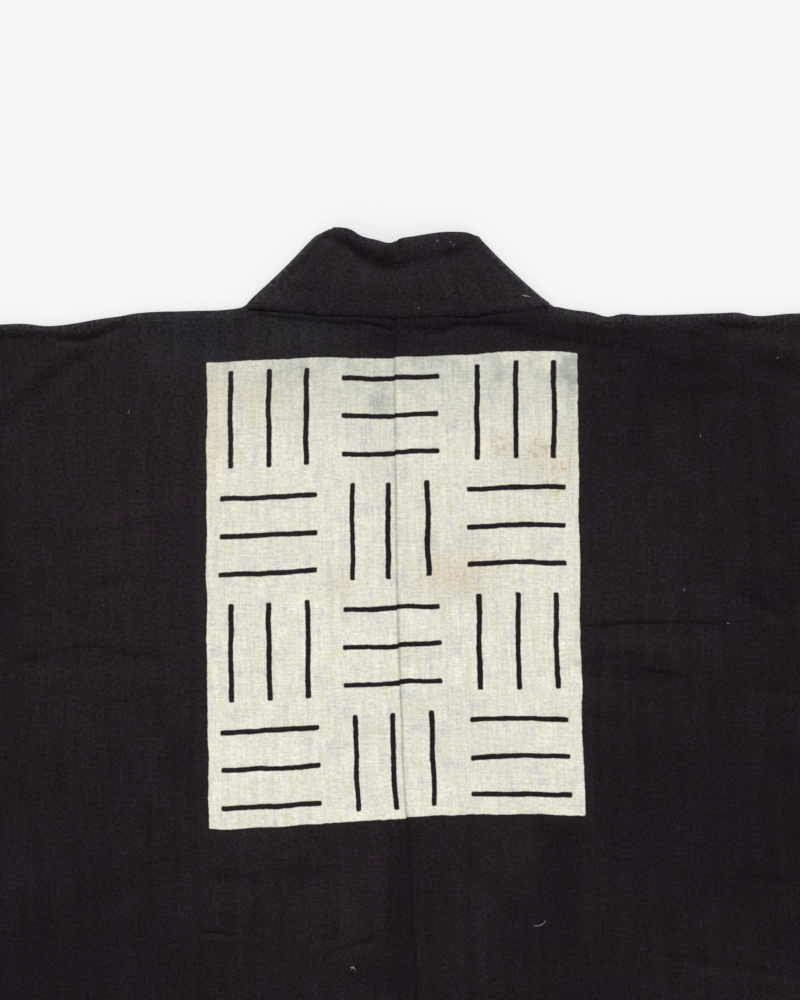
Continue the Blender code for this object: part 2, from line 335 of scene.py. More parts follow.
@dataclass(frozen=True)
class TableLay:
    """Where each layer of the coat lies on the table."""

    draft: CoatDraft
    sway: float = 0.025  # how far aside the hem lies
    collar_top: float = 0.0636  # top of the coat's outline, above the shoulder line
    back_z: float = 0.0038  # middle of the back layer over a front panel
    over_strip_z: float = 0.0047  # middle of the back layer over the band's front run
    fold_z: float = 0.0062  # middle of the back layer where it comes to the shoulder fold
    band_z: float = 0.0068  # middle of the band behind the neck
    roll: float = 0.016  # how far from the shoulder fold the back layer rises
    strip_ramp: float = 0.025  # over what width it climbs onto the band's front run
    sewn_press: float = 0.012  # how far from a sewn edge it is pressed down
    band_drop: float = 0.0014  # how much lower the band lies at the neck seam
    drop_reach: float = 0.0036  # how far from the neck seam it lies lower
    tuck_depth: float = 0.0006  # how deep the back layer dips at the neck seam
    tuck_reach: float = 0.0024  # how far from the neck seam it dips
    tuck_start: float = 0.0013  # how far below the neck seam it begins to go under the band
    tuck_run: float = 0.0022  # over what length it goes under
    tuck_room: float = 0.0002  # room between it and the band
    seam_groove: float = 0.0020  # depth of the groove at a seam
    groove_reach: float = 0.0011  # how far from the seam the groove falls off
    ridge: float = 0.00035  # height of the ridge of a pressed allowance
    ridge_foot: float = 0.001  # over what width the ridge rises at its seam
    ridge_brink: float = 0.0018  # over what width it falls at the allowance's edge
    hem_height: float = 1.4  # height of the turned-up hem, in ridges
    hem_brink: float = 0.002  # over what width the turned-up hem falls at its edge
    hem_dip: float = 0.0012  # how far from that edge its stitches draw the cloth in
    under_hollow: float = 0.0003  # depth of the hollows under the layer that lies on the table
    under_reach: float = 0.020  # how far from a sewn edge those hollows begin
    # How far aside their waves are taken, so that they differ from the back's.
    under_shift: float = 2.0
    wander_reach: float = 0.040  # how far from the centre seam the cloth wanders with it
    # How far the centre seam wanders sideways, for each y.
    wander: Track = Track((
        (-0.78, 0.0), (-0.64, 0.0018), (-0.51, 0.0022), (-0.45, 0.0016), (-0.39, 0.0008),
        (-0.37, -0.0006), (-0.3, -0.0018), (-0.24, -0.0028), (-0.1, -0.0032), (0.0, -0.003),
    ))
    creases: tuple[Crease, ...] = ()  # folds of the back layer
    ripples: tuple[Ripple, ...] = ()  # its uneven ground

    @property
    def front_z(self) -> float:
        """Middle of a single layer that lies on the table."""
        return self.draft.cloth / 2

    @property
    def strip_z(self) -> float:
        """Middle of the collar band where it lies on the table."""
        return self.draft.collar_wall / 2

    @property
    def sewn_z(self) -> float:
        """Middle of the back layer where it lies pressed on the front."""
        return self.draft.cloth * 1.5 + self.draft.seam

    def place(self, x: Array, y: Array, z: Array) -> Array:
        """Frame coordinates of coat coordinates.

        The hem sways aside as the square of the depth, and the middle of the coat's outline
        comes to the origin.

        Args:
            x, y: Where on the coat, across and up.
            z: Height above the table.

        Returns:
            The points, with x, y and z last.
        """
        draft = self.draft
        sideways = self.sway * (np.minimum(y, 0.0) / draft.length) ** 2
        centred = self.sway * (draft.sleeve_depth / draft.length) ** 2 / 2
        up = (draft.length - self.collar_top) / 2
        return np.stack(np.broadcast_arrays(x + sideways - centred, y + up, z), axis=-1)

    def aside(self, x: Array, y: Array) -> Array:
        """How far the centre seam wanders sideways, with the cloth near it."""
        return self.wander.at(y) * bell(x, self.wander_reach)

    def from_sewn_edge(self, x: Array, y: Array) -> Array:
        """Distance to where back and front are sewn together, at the side and under the arm.

        Args:
            x, y: Where on the coat, across and up.

        Returns:
            The distance at each point.
        """
        beside = self.draft.body_half - np.abs(x)
        above = y + self.draft.sleeve_depth
        around = np.hypot(beside, above)
        return np.where(beside < 0.0, np.abs(above), np.where(above < 0.0, beside, around))

    def top_edge(self, x: Array, over_neck: Array) -> Array:
        """Where the back ends: at the neck seam over the neck, else at the shoulder's outline."""
        return np.where(over_neck, self.draft.neck_seam(x), self.draft.shoulder.at(x))

    def from_loose_edge(self, x: Array, y: Array) -> Array:
        """Distance to the hem or the cuff, whichever is nearer.

        Args:
            x, y: Where on the coat, across and up.

        Returns:
            The distance at each point.
        """
        draft = self.draft
        reach = draft.body_half + draft.sleeve_length
        from_hem = np.where(np.abs(x) < draft.body_half, y + draft.length, 1.0)
        return np.minimum(from_hem, reach - np.abs(x))

    def seam_relief(self, x: Array, y: Array) -> Array:
        """Grooves at the seams, with the ridge of the allowance that is pressed to one side.

        Args:
            x, y: Where on the coat, across and up.

        Returns:
            The height at each point, below zero in a groove.
        """
        draft = self.draft
        centre = np.abs(x)
        armhole = np.abs(np.abs(x) - draft.body_half) + np.where(y < -draft.sleeve_depth, 1.0, 0.0)
        groove = bell(centre, self.groove_reach) + bell(armhole, self.groove_reach)
        brink = self.ridge_brink
        to_right = smooth(x / self.ridge_foot) * smooth((draft.allowance - x) / brink)
        in_body = np.abs(x) < draft.body_half
        to_body = np.where(in_body, smooth((draft.allowance - armhole) / brink), 0.0)
        return self.ridge * (to_right + to_body) - self.seam_groove * groove

    def hem_relief(self, x: Array, y: Array) -> Array:
        """The doubled cloth of the turned-up hem and cuffs, with a dip where it is stitched.

        Args:
            x, y: Where on the coat, across and up.

        Returns:
            The height at each point, below zero at the stitches.
        """
        from_edge = self.from_loose_edge(x, y)
        doubled = smooth((self.draft.hem - from_edge) / self.hem_brink)
        stitched = bell(from_edge - self.draft.hem, self.hem_dip)
        return self.ridge * (self.hem_height * doubled - stitched)

    def back_height(self, x: Array, y: Array) -> Array:
        """Middle of the back layer above the table.

        It rests on the front panel or the collar's front run, is pressed down at sewn edges,
        rises to the shoulder fold and dips under the collar's edge at the neck.

        Args:
            x, y: Where on the coat, across and up.

        Returns:
            The height at each point.
        """
        draft = self.draft
        over_strip = smooth((draft.front_seam(y) + self.strip_ramp - np.abs(x)) / self.strip_ramp)
        pressed = bell(self.from_sewn_edge(x, y), self.sewn_press)
        rest = self.back_z + (self.over_strip_z - self.back_z) * over_strip
        rest = rest + (self.sewn_z - self.back_z) * pressed
        over_neck = np.abs(x) < draft.neck_half
        top = self.top_edge(x, over_neck)
        rise = (self.fold_z - rest) * bell(top - y, self.roll)
        tuck = self.tuck_depth * np.where(over_neck, bell(top - y, self.tuck_reach), 0.0)
        drawn = x + self.aside(x, y)
        folds = sum(crease.at(drawn, y) for crease in self.creases)
        uneven = sum(ripple.at(drawn, y) for ripple in self.ripples)
        quiet = smooth(self.from_sewn_edge(x, y) / self.sewn_press)
        lowest = self.sewn_z + (draft.collar_wall - draft.cloth) * over_strip
        loose = np.maximum(rest + rise + folds + uneven * quiet, lowest)
        height = loose - tuck + self.seam_relief(x, y) + self.hem_relief(x, y)
        tucked = np.where(over_neck, smooth((y - top + self.tuck_start) / self.tuck_run), 0.0)
        walls = (draft.collar_wall + draft.cloth) / 2
        under_band = self.band_z - self.band_drop - walls - self.tuck_room
        return height + (np.minimum(height, under_band) - height) * tucked

    def under_relief(self, x: Array, y: Array) -> Array:
        """Shallow hollows in the layer that lies on the table, none at its sewn edges."""
        wave = sum(ripple.at(x + self.under_shift, y) for ripple in self.ripples)
        open_here = smooth(self.from_sewn_edge(x, y) / self.under_reach)
        return np.clip(wave, 0.0, self.under_hollow) * open_here

    def fold_edge(self, x: Array) -> Array:
        """Middle of the wall at the shoulder fold, inside the outline by the fold's radius.

        Args:
            x: The columns.

        Returns:
            The fold's y for each column.
        """
        outline = self.draft.shoulder.at(x)
        radius = (self.back_height(x, outline) - self.front_z) / 2
        return outline - radius - self.draft.cloth / 2


# The folds of the back layer, in metres: name, start, end, bow, width, height and lean.
CREASES = (
    Crease("left_shoulder_tuck", (-0.200, -0.0045), (-0.262, -0.0205), 0.0086, 0.0032, -0.0034, 1.5),
    Crease("left_shoulder_tail", (-0.340, -0.0180), (-0.240, -0.0206), -0.0010, 0.0046, -0.0021, 2.6),
    Crease("left_shoulder_crown", (-0.195, 0.0010), (-0.320, -0.0125), 0.0028, 0.0040, 0.0010),
    Crease("left_shoulder_bolster", (-0.216, -0.0110), (-0.326, -0.1060), -0.0105, 0.0070, 0.0020),
    Crease("left_shoulder_drag", (-0.220, -0.0280), (-0.316, -0.1220), -0.0095, 0.0048, -0.0015, 1.5),
    Crease("left_shoulder_brink", (-0.195, -0.0200), (-0.292, -0.1110), -0.0090, 0.0050, 0.0008),
    Crease("left_streak_ridge", (-0.160, -0.0110), (-0.210, -0.0600), -0.0020, 0.0036, 0.0007),
    Crease("left_streak_dip", (-0.166, -0.0170), (-0.202, -0.0480), -0.0015, 0.0028, -0.0008),
    Crease("neck_pull_left", (-0.128, -0.0016), (-0.008, -0.0126), -0.0007, 0.0033, -0.0022, 4.0),
    Crease("neck_pull_fork", (-0.038, -0.0062), (-0.001, -0.0160), 0.0012, 0.0014, -0.0013, 1.3),
    Crease("neck_pull_step", (0.006, -0.0052), (-0.009, -0.0160), 0.0010, 0.0014, -0.0009, 1.3),
    Crease("neck_gather", (-0.002, -0.0118), (0.048, -0.0138), -0.0006, 0.0022, -0.0012, 3.2),
    Crease("neck_gather_right", (0.030, -0.0122), (0.104, -0.0126), 0.0020, 0.0026, -0.0016, 2.6),
    Crease("neck_gather_edge", (0.020, -0.0210), (0.052, -0.0085), 0.0010, 0.0020, -0.0010, 1.3),
    Crease("neck_gather_swell", (0.038, -0.0165), (0.100, -0.0135), 0.0000, 0.0050, 0.0006),
    Crease("right_neck_dip", (0.056, -0.0115), (0.214, -0.0435), 0.0004, 0.0054, -0.0027, 2.4),
    Crease("right_neck_tail", (0.140, -0.0320), (0.206, -0.0385), -0.0008, 0.0044, -0.0016, 2.0),
    Crease("right_neck_roll", (0.112, -0.0030), (0.170, -0.0100), -0.0010, 0.0046, 0.0008),
    Crease("right_hollow_fall", (0.180, -0.0300), (0.206, -0.0520), 0.0020, 0.0050, -0.0013),
    Crease("right_hollow_upper", (0.186, -0.0470), (0.252, -0.0425), -0.0010, 0.0064, -0.0013),
    Crease("right_hollow_lower", (0.180, -0.0650), (0.288, -0.0640), 0.0035, 0.0054, -0.0013, 1.4),
    Crease("right_block_line", (0.136, -0.0465), (0.184, -0.0470), 0.0005, 0.0022, -0.0006),
    Crease("right_edge_nick", (0.228, -0.0108), (0.258, -0.0120), 0.0000, 0.0034, -0.0017, 1.8),
    Crease("right_edge_bump", (0.249, -0.0140), (0.284, -0.0126), 0.0006, 0.0034, -0.0017, 1.8),
    Crease("right_edge_line", (0.170, -0.0060), (0.236, -0.0050), 0.0010, 0.0022, -0.0006, 1.5),
    Crease("right_shoulder_drag", (0.260, -0.0372), (0.345, -0.0738), 0.0030, 0.0038, -0.0030, 1.9),
    Crease("right_shoulder_ridge", (0.258, -0.0240), (0.345, -0.0550), 0.0040, 0.0070, 0.0013),
    Crease("right_side_fold", (0.243, -0.2050), (0.300, -0.2340), -0.0020, 0.0036, -0.0016, 1.3),
    Crease("right_side_fork", (0.264, -0.1920), (0.296, -0.2270), 0.0020, 0.0030, -0.0013, 1.3),
    Crease("right_blade_faint", (0.204, -0.2070), (0.248, -0.2010), 0.0008, 0.0022, -0.0008),
    Crease("right_blade_trace", (0.182, -0.2110), (0.218, -0.2105), 0.0004, 0.0022, -0.0006),
    Crease("right_blade_line", (0.130, -0.2386), (0.252, -0.2368), 0.0018, 0.0030, -0.0032, 3.2),
    Crease("right_blade_branch", (0.124, -0.2690), (0.184, -0.2575), 0.0000, 0.0038, -0.0028, 2.4),
    Crease("right_blade_second", (0.124, -0.2685), (0.216, -0.2775), 0.0034, 0.0030, -0.0030, 2.6),
    Crease("right_side_dip", (0.256, -0.2850), (0.300, -0.2855), 0.0000, 0.0050, -0.0014),
    Crease("right_block_pucker", (0.130, -0.2990), (0.166, -0.3160), 0.0010, 0.0030, -0.0010),
    Crease("right_waist_hollow", (0.150, -0.3420), (0.250, -0.3640), 0.0000, 0.0200, -0.0016),
    Crease("right_waist_pit", (0.252, -0.3200), (0.318, -0.3640), 0.0000, 0.0110, -0.0018),
    Crease("right_low_pit", (0.236, -0.4250), (0.298, -0.4330), 0.0020, 0.0055, -0.0014),
    Crease("right_low_line", (0.178, -0.4830), (0.304, -0.5030), 0.0010, 0.0026, -0.0012, 1.5),
    Crease("left_band_rise", (-0.264, -0.1650), (-0.144, -0.1400), -0.0030, 0.0055, 0.0011),
    Crease("left_blade_dip", (-0.240, -0.2095), (-0.192, -0.1975), -0.0010, 0.0044, -0.0018, 2.4),
    Crease("left_side_nick", (-0.296, -0.2360), (-0.268, -0.2280), 0.0004, 0.0030, -0.0009),
    Crease("left_side_slant", (-0.266, -0.2190), (-0.230, -0.2430), 0.0000, 0.0026, -0.0008),
    Crease("left_waist_line", (-0.296, -0.2665), (-0.220, -0.2525), 0.0008, 0.0038, -0.0024, 3.0),
    Crease("left_waist_second", (-0.246, -0.2530), (-0.168, -0.2615), -0.0024, 0.0042, -0.0022, 2.6),
    Crease("left_low_fold", (-0.264, -0.4580), (-0.196, -0.4310), 0.0000, 0.0078, -0.0029),
    Crease("left_block_hollow", (-0.160, -0.4250), (-0.104, -0.4300), 0.0000, 0.0055, -0.0022, 2.0),
    Crease("left_low_line", (-0.161, -0.4655), (-0.131, -0.4690), 0.0008, 0.0018, -0.0018, 1.3),
    Crease("left_low_lip", (-0.158, -0.4692), (-0.132, -0.4727), 0.0008, 0.0020, 0.0009),
    Crease("middle_hollow", (-0.112, -0.4290), (-0.036, -0.4250), -0.0010, 0.0080, -0.0032, 2.0),
    Crease("centre_low_line", (-0.068, -0.4860), (-0.022, -0.4690), 0.0008, 0.0020, -0.0015, 1.4),
    Crease("centre_low_slant", (-0.062, -0.5190), (-0.036, -0.4930), 0.0000, 0.0024, -0.0012),
    Crease("left_side_swell", (-0.250, -0.270), (-0.235, -0.430), 0.020, 0.026, 0.0009),
    Crease("left_hem_swell", (-0.180, -0.560), (-0.210, -0.770), 0.012, 0.028, 0.0012),
    Crease("right_hem_swell", (0.120, -0.560), (0.150, -0.770), -0.014, 0.030, 0.0012),
    Crease("hem_slant", (-0.090, -0.640), (0.060, -0.590), 0.010, 0.009, -0.0012, 1.4),
    Crease("left_underarm_drag", (-0.290, -0.300), (-0.410, -0.190), 0.012, 0.014, 0.0014),
    Crease("right_underarm_drag", (0.285, -0.310), (0.415, -0.180), -0.014, 0.014, 0.0014),
    Crease("left_sleeve_swell", (-0.380, -0.070), (-0.600, -0.110), 0.016, 0.024, 0.0012),
    Crease("left_cuff_swell", (-0.480, -0.230), (-0.620, -0.205), -0.010, 0.020, 0.0011),
    Crease("right_sleeve_swell", (0.400, -0.090), (0.600, -0.060), -0.018, 0.024, 0.0012),
    Crease("right_cuff_swell", (0.500, -0.190), (0.620, -0.235), 0.012, 0.020, 0.0011),
)

# The same for the band behind the neck.
COLLAR_WRINKLES = (
    Crease("left_streak", (-0.052, 0.0540), (-0.026, 0.0250), 0.0020, 0.0040, 0.0008),
    Crease("left_slant_dip", (-0.098, 0.0080), (-0.060, 0.0420), 0.0020, 0.0042, -0.0008),
    Crease("left_low_pleat", (-0.034, 0.0180), (-0.030, -0.0020), 0.0008, 0.0018, -0.0008),
    Crease("left_low_pucker", (-0.088, 0.0190), (-0.056, 0.0120), 0.0010, 0.0024, -0.0007),
    Crease("left_low_swell", (-0.100, 0.0040), (-0.052, 0.0070), 0.0010, 0.0044, 0.0006),
    Crease("middle_low_dip", (-0.020, 0.0080), (0.050, 0.0060), 0.0010, 0.0040, -0.0007, 1.4),
    Crease("middle_swell", (-0.030, 0.0180), (0.030, 0.0200), 0.0010, 0.0060, 0.0005),
    Crease("right_slant_dip", (0.058, 0.0480), (0.096, 0.0100), 0.0020, 0.0040, -0.0010, 1.4),
    Crease("right_slant_fork", (0.070, 0.0340), (0.088, 0.0260), 0.0010, 0.0022, -0.0007),
    Crease("right_low_line", (0.062, 0.0060), (0.104, 0.0085), 0.0010, 0.0022, -0.0006),
    Crease("right_shelf", (0.020, 0.0290), (0.056, 0.0350), 0.0020, 0.0060, 0.0006),
    Crease("middle_pleat", (0.010, 0.0280), (0.012, 0.0040), 0.0010, 0.0030, -0.0004),
)

# Where the band has faded more or less: x, y and both reaches in metres, and strength.
COLLAR_PATCHES = patch_table(
    (-0.094, 0.01, 0.034, 0.018, 0.7), (-0.08, 0.032, 0.024, 0.026, 0.4),
    (-0.051, 0.052, 0.013, 0.016, 0.45), (-0.024, 0.016, 0.034, 0.014, -0.42),
    (-0.07, 0.018, 0.026, 0.014, -0.25), (0.05, 0.013, 0.04, 0.014, 0.3),
    (0.084, 0.008, 0.03, 0.014, 0.6), (0.004, 0.004, 0.034, 0.008, -0.3),
)

RIPPLES = (
    Ripple(wavelength=0.120, height=0.00046, waves=14, seed=11),
    Ripple(wavelength=0.042, height=0.00020, waves=18, seed=12),
    Ripple(wavelength=0.016, height=0.000055, waves=22, seed=13),
)

# How far the back has faded, and where more or less, with the same columns.  The patches that take it
# down just under the neck seam, y from about -0.0055 to -0.0165, are painted shade of the neck seam
# and the creases under it as well as darker dye.
FADED_BASE = 0.25
FADED_PATCHES = patch_table(
    (-0.17, -0.09, 0.25, 0.42, 0.46), (0.165, -0.19, 0.13, 0.16, 0.26),
    (-0.04, -0.42, 0.2, 0.13, 0.26), (-0.29, -0.5, 0.17, 0.13, -0.2),
    (0.25, -0.385, 0.2, 0.09, -0.2), (0.01, -0.01, 0.1, 0.022, -0.2),
    (0.024, -0.0165, 0.04, 0.014, -0.46), (0.05, -0.0095, 0.042, 0.0075, -0.45),
    (-0.052, -0.0105, 0.048, 0.01, -0.4), (0.15, -0.005, 0.044, 0.0085, 0.3),
    (0.29, -0.024, 0.024, 0.011, 0.4), (0.274, -0.018, 0.05, 0.011, 0.4),
    (0.01, -0.017, 0.024, 0.008, -0.3), (-0.27, -0.013, 0.05, 0.005, 0.4),
    (0.01, -0.44, 0.05, 0.05, -0.18), (-0.022, -0.5, 0.034, 0.02, -0.3),
    (-0.066, -0.0055, 0.052, 0.0075, -0.4), (0.208, -0.05, 0.05, 0.03, -0.42),
    (0.272, -0.209, 0.034, 0.026, -0.32), (0.176, -0.09, 0.008, 0.06, -0.25),
    (-0.15, -0.085, 0.016, 0.06, 0.25), (-0.162, -0.155, 0.014, 0.03, -0.2),
    (-0.302, -0.215, 0.022, 0.045, -0.28), (-0.168, -0.336, 0.016, 0.042, -0.22),
    (0.142, -0.289, 0.02, 0.02, 0.28), (0.15, -0.213, 0.024, 0.03, 0.34),
    (0.176, -0.272, 0.05, 0.02, -0.22), (0.29, -0.35, 0.034, 0.034, -0.36),
    (0.255, -0.431, 0.055, 0.012, -0.3), (0.288, -0.472, 0.028, 0.026, -0.36),
    (0.135, -0.515, 0.055, 0.028, -0.24), (0.085, -0.46, 0.03, 0.05, -0.24),
    (-0.11, -0.394, 0.044, 0.022, 0.28), (-0.077, -0.421, 0.024, 0.014, -0.34),
    (-0.046, -0.44, 0.026, 0.048, 0.22), (-0.008, -0.45, 0.015, 0.13, -0.38),
    (0.114, -0.43, 0.017, 0.09, -0.3), (0.145, -0.43, 0.016, 0.07, 0.14),
    (0.08, -0.398, 0.042, 0.036, 0.3), (-0.262, -0.155, 0.009, 0.034, -0.25),
    (-0.181, -0.185, 0.004, 0.036, -0.3), (-0.185, -0.06, 0.005, 0.02, -0.2),
)

# Where light, dirt, tea and rust have marked the back, with the same columns.
CLOTH_PATCHES = {
    Mark.SUNNED: patch_table(
        (-0.155, -0.018, 0.085, 0.046, 1.0), (-0.08, -0.016, 0.085, 0.032, 1.0),
        (-0.265, -0.006, 0.12, 0.014, 0.45), (0.136, -0.001, 0.046, 0.01, 0.6),
        (0.04, -0.018, 0.06, 0.02, 0.35),
    ),
    Mark.SMUDGED: patch_table(
        (0.0, -0.036, 0.42, 0.084, 0.41), (-0.083, -0.044, 0.042, 0.026, 0.6),
        (-0.135, -0.042, 0.04, 0.028, 0.52), (-0.011, -0.064, 0.022, 0.03, 0.72),
        (0.022, -0.038, 0.056, 0.018, 0.52), (0.078, -0.043, 0.026, 0.026, 0.52),
        (0.133, -0.044, 0.036, 0.034, 0.95), (0.13, -0.072, 0.022, 0.056, 0.42),
        (-0.008, -0.1, 0.036, 0.09, 0.2), (0.104, -0.112, 0.07, 0.05, 0.2),
        (0.14, -0.24, 0.022, 0.3, 0.14), (0.05, -0.16, 0.18, 0.13, 0.1),
        (-0.11, -0.15, 0.1, 0.07, 0.06), (0.06, -0.32, 0.16, 0.09, 0.08),
    ),
    Mark.STAINED: patch_table(
        (-0.142, -0.08, 0.024, 0.11, 0.36), (-0.105, -0.06, 0.04, 0.032, 0.26),
        (0.113, -0.108, 0.038, 0.036, 0.3), (0.076, -0.099, 0.02, 0.018, 0.2),
        (-0.042, -0.206, 0.022, 0.022, 0.24), (0.041, -0.196, 0.042, 0.028, 0.62),
        (0.012, -0.252, 0.024, 0.02, 0.14), (-0.07, -0.346, 0.034, 0.014, 0.1),
    ),
    Mark.RUSTY: patch_table(
        (0.121, -0.118, 0.01, 0.01, 1.0), (0.104, -0.103, 0.014, 0.014, 0.8),
        (0.077, -0.099, 0.012, 0.012, 0.8), (0.118, -0.131, 0.012, 0.012, 0.7),
        (0.074, -0.186, 0.01, 0.014, 0.9), (-0.043, -0.204, 0.016, 0.012, 0.4),
    ),
}


# --- Meshes ---


def linked(name: str, data: bpy.types.ID) -> bpy.types.Object:
    """Makes an object and links it to the scene.

    Args:
        name: Name of the new object.
        data: Its mesh, camera or light.

    Returns:
        The new object.
    """
    made = bpy.data.objects.new(name, data)
    bpy.context.scene.collection.objects.link(made)
    return made


@dataclass
class Sheet:
    """A piece of cloth as a grid of places, before it gets its wall."""

    places: Array  # points of the middle of the wall, rows by columns by 3
    weave: Array  # where each point is on the flat cloth, across and along its threads
    # Values of the marks over the first rows; elsewhere they keep their usual value.
    marks: dict[Mark, Array]
    block: Array | None = None  # where the first rows are on the back block, 0 to 1 across and down
    missing: Array | None = None  # true where the grid has no cloth
    # What a mark is where it isn't given, if it isn't 0.
    usual: ClassVar[dict[Mark, float]] = {Mark.WORN: 0.4, Mark.FADED: 0.4}

    def whole(self, rows: Array | None, shape: tuple[int, ...], usual: float) -> Array:
        """Values for the whole grid: the given first rows, and the usual value after them.

        Args:
            rows: Values of the first rows, if there are any.
            shape: Shape of the whole grid's values.
            usual: The value elsewhere.

        Returns:
            The values of the whole grid.
        """
        values = np.full(shape, usual, np.float32)
        if rows is not None:
            values[: len(rows)] = rows
        return values

    def build(self, name: str) -> bpy.types.Object:
        """Makes the open mesh, one quad for each cell that has all its corners.

        Args:
            name: Name of the new object.

        Returns:
            The new object, linked to the scene.
        """
        rows, columns = self.places.shape[:2]
        index = np.arange(rows * columns).reshape(rows, columns)
        quads = np.stack([index[:-1, :-1], index[:-1, 1:], index[1:, 1:], index[1:, :-1]], axis=-1)
        quads = quads.reshape(-1, 4)
        if self.missing is not None:
            quads = quads[~self.missing.ravel()[quads].any(axis=1)]
        kept, quads = np.unique(quads, return_inverse=True)
        quads = quads.reshape(-1, 4)
        mesh = bpy.data.meshes.new(name)
        mesh.from_pydata(self.places.reshape(-1, 3)[kept], [], quads)
        block = self.whole(self.block, self.weave.shape, -1.0)
        for layer, values in ((WEAVE_UV, self.weave), (BLOCK_UV, block)):
            flat = values.reshape(-1, 2)[kept][quads.ravel()]
            mesh.uv_layers.new(name=layer).data.foreach_set("uv", flat.astype(np.float32).ravel())
        for mark in Mark:
            usual = self.usual.get(mark, 0.0)
            values = self.whole(self.marks.get(mark), self.places.shape[:2], usual)
            attribute = mesh.attributes.new(mark.value, "FLOAT", "POINT")
            attribute.data.foreach_set("value", values.ravel()[kept])
        mesh.shade_smooth()
        return linked(name, mesh)


def give_wall(piece: bpy.types.Object, wall: float, rounding: float) -> None:
    """Gives a sheet its thickness, half to each side, and rounds its edges.

    Args:
        piece: The open sheet.
        wall: Its thickness.
        rounding: Width of the rounding.
    """
    solid = piece.modifiers.new("wall", "SOLIDIFY")
    solid.thickness = wall
    solid.offset = 0.0
    soft = piece.modifiers.new("soft_edges", "BEVEL")
    soft.width = rounding
    soft.segments = 2
    soft.limit_method = "ANGLE"
    soft.angle_limit = math.radians(60)


def fibre_mesh(name: str, paths: Array, radius: Array, sides: int = 6) -> bpy.types.Object:
    """Joins many short threads into one mesh.

    Each thread is a ring of points carried along its path.  Its radius goes as the square root
    of 1 less a high power of the place along it, which blunts both ends.

    Args:
        name: Name of the new object.
        paths: Points along each thread, threads by points by 3.
        radius: Radius of each thread.
        sides: Sides of a thread.

    Returns:
        The new object, linked to the scene.
    """
    count, steps = paths.shape[:2]
    ahead = np.gradient(paths, axis=1)
    ahead /= np.linalg.norm(ahead, axis=2, keepdims=True)
    beside = np.cross(ahead, [0.0, 0.0, 1.0])
    beside /= np.linalg.norm(beside, axis=2, keepdims=True)
    over = np.cross(beside, ahead)
    turn = 2.0 * np.pi * np.arange(sides) / sides
    tip, bluntness = 0.98, 6
    swell = np.sqrt(np.clip(1.0 - np.linspace(-tip, tip, steps) ** bluntness, 0.0, 1.0))
    ring = beside[:, :, None] * np.cos(turn)[:, None] + over[:, :, None] * np.sin(turn)[:, None]
    skin = paths[:, :, None] + ring * (radius[:, None] * swell)[:, :, None, None]
    index = np.arange(count * steps * sides).reshape(count, steps, sides)
    onward = np.roll(index, -1, axis=2)
    sleeve = np.stack([index[:, :-1], onward[:, :-1], onward[:, 1:], index[:, 1:]], axis=-1)
    faces = sleeve.reshape(-1, 4).tolist()
    faces += index[:, 0, ::-1].tolist() + index[:, -1].tolist()
    mesh = bpy.data.meshes.new(name)
    mesh.from_pydata(skin.reshape(-1, 3), [], faces)
    mesh.shade_smooth()
    return linked(name, mesh)


# --- Pieces of cloth ---


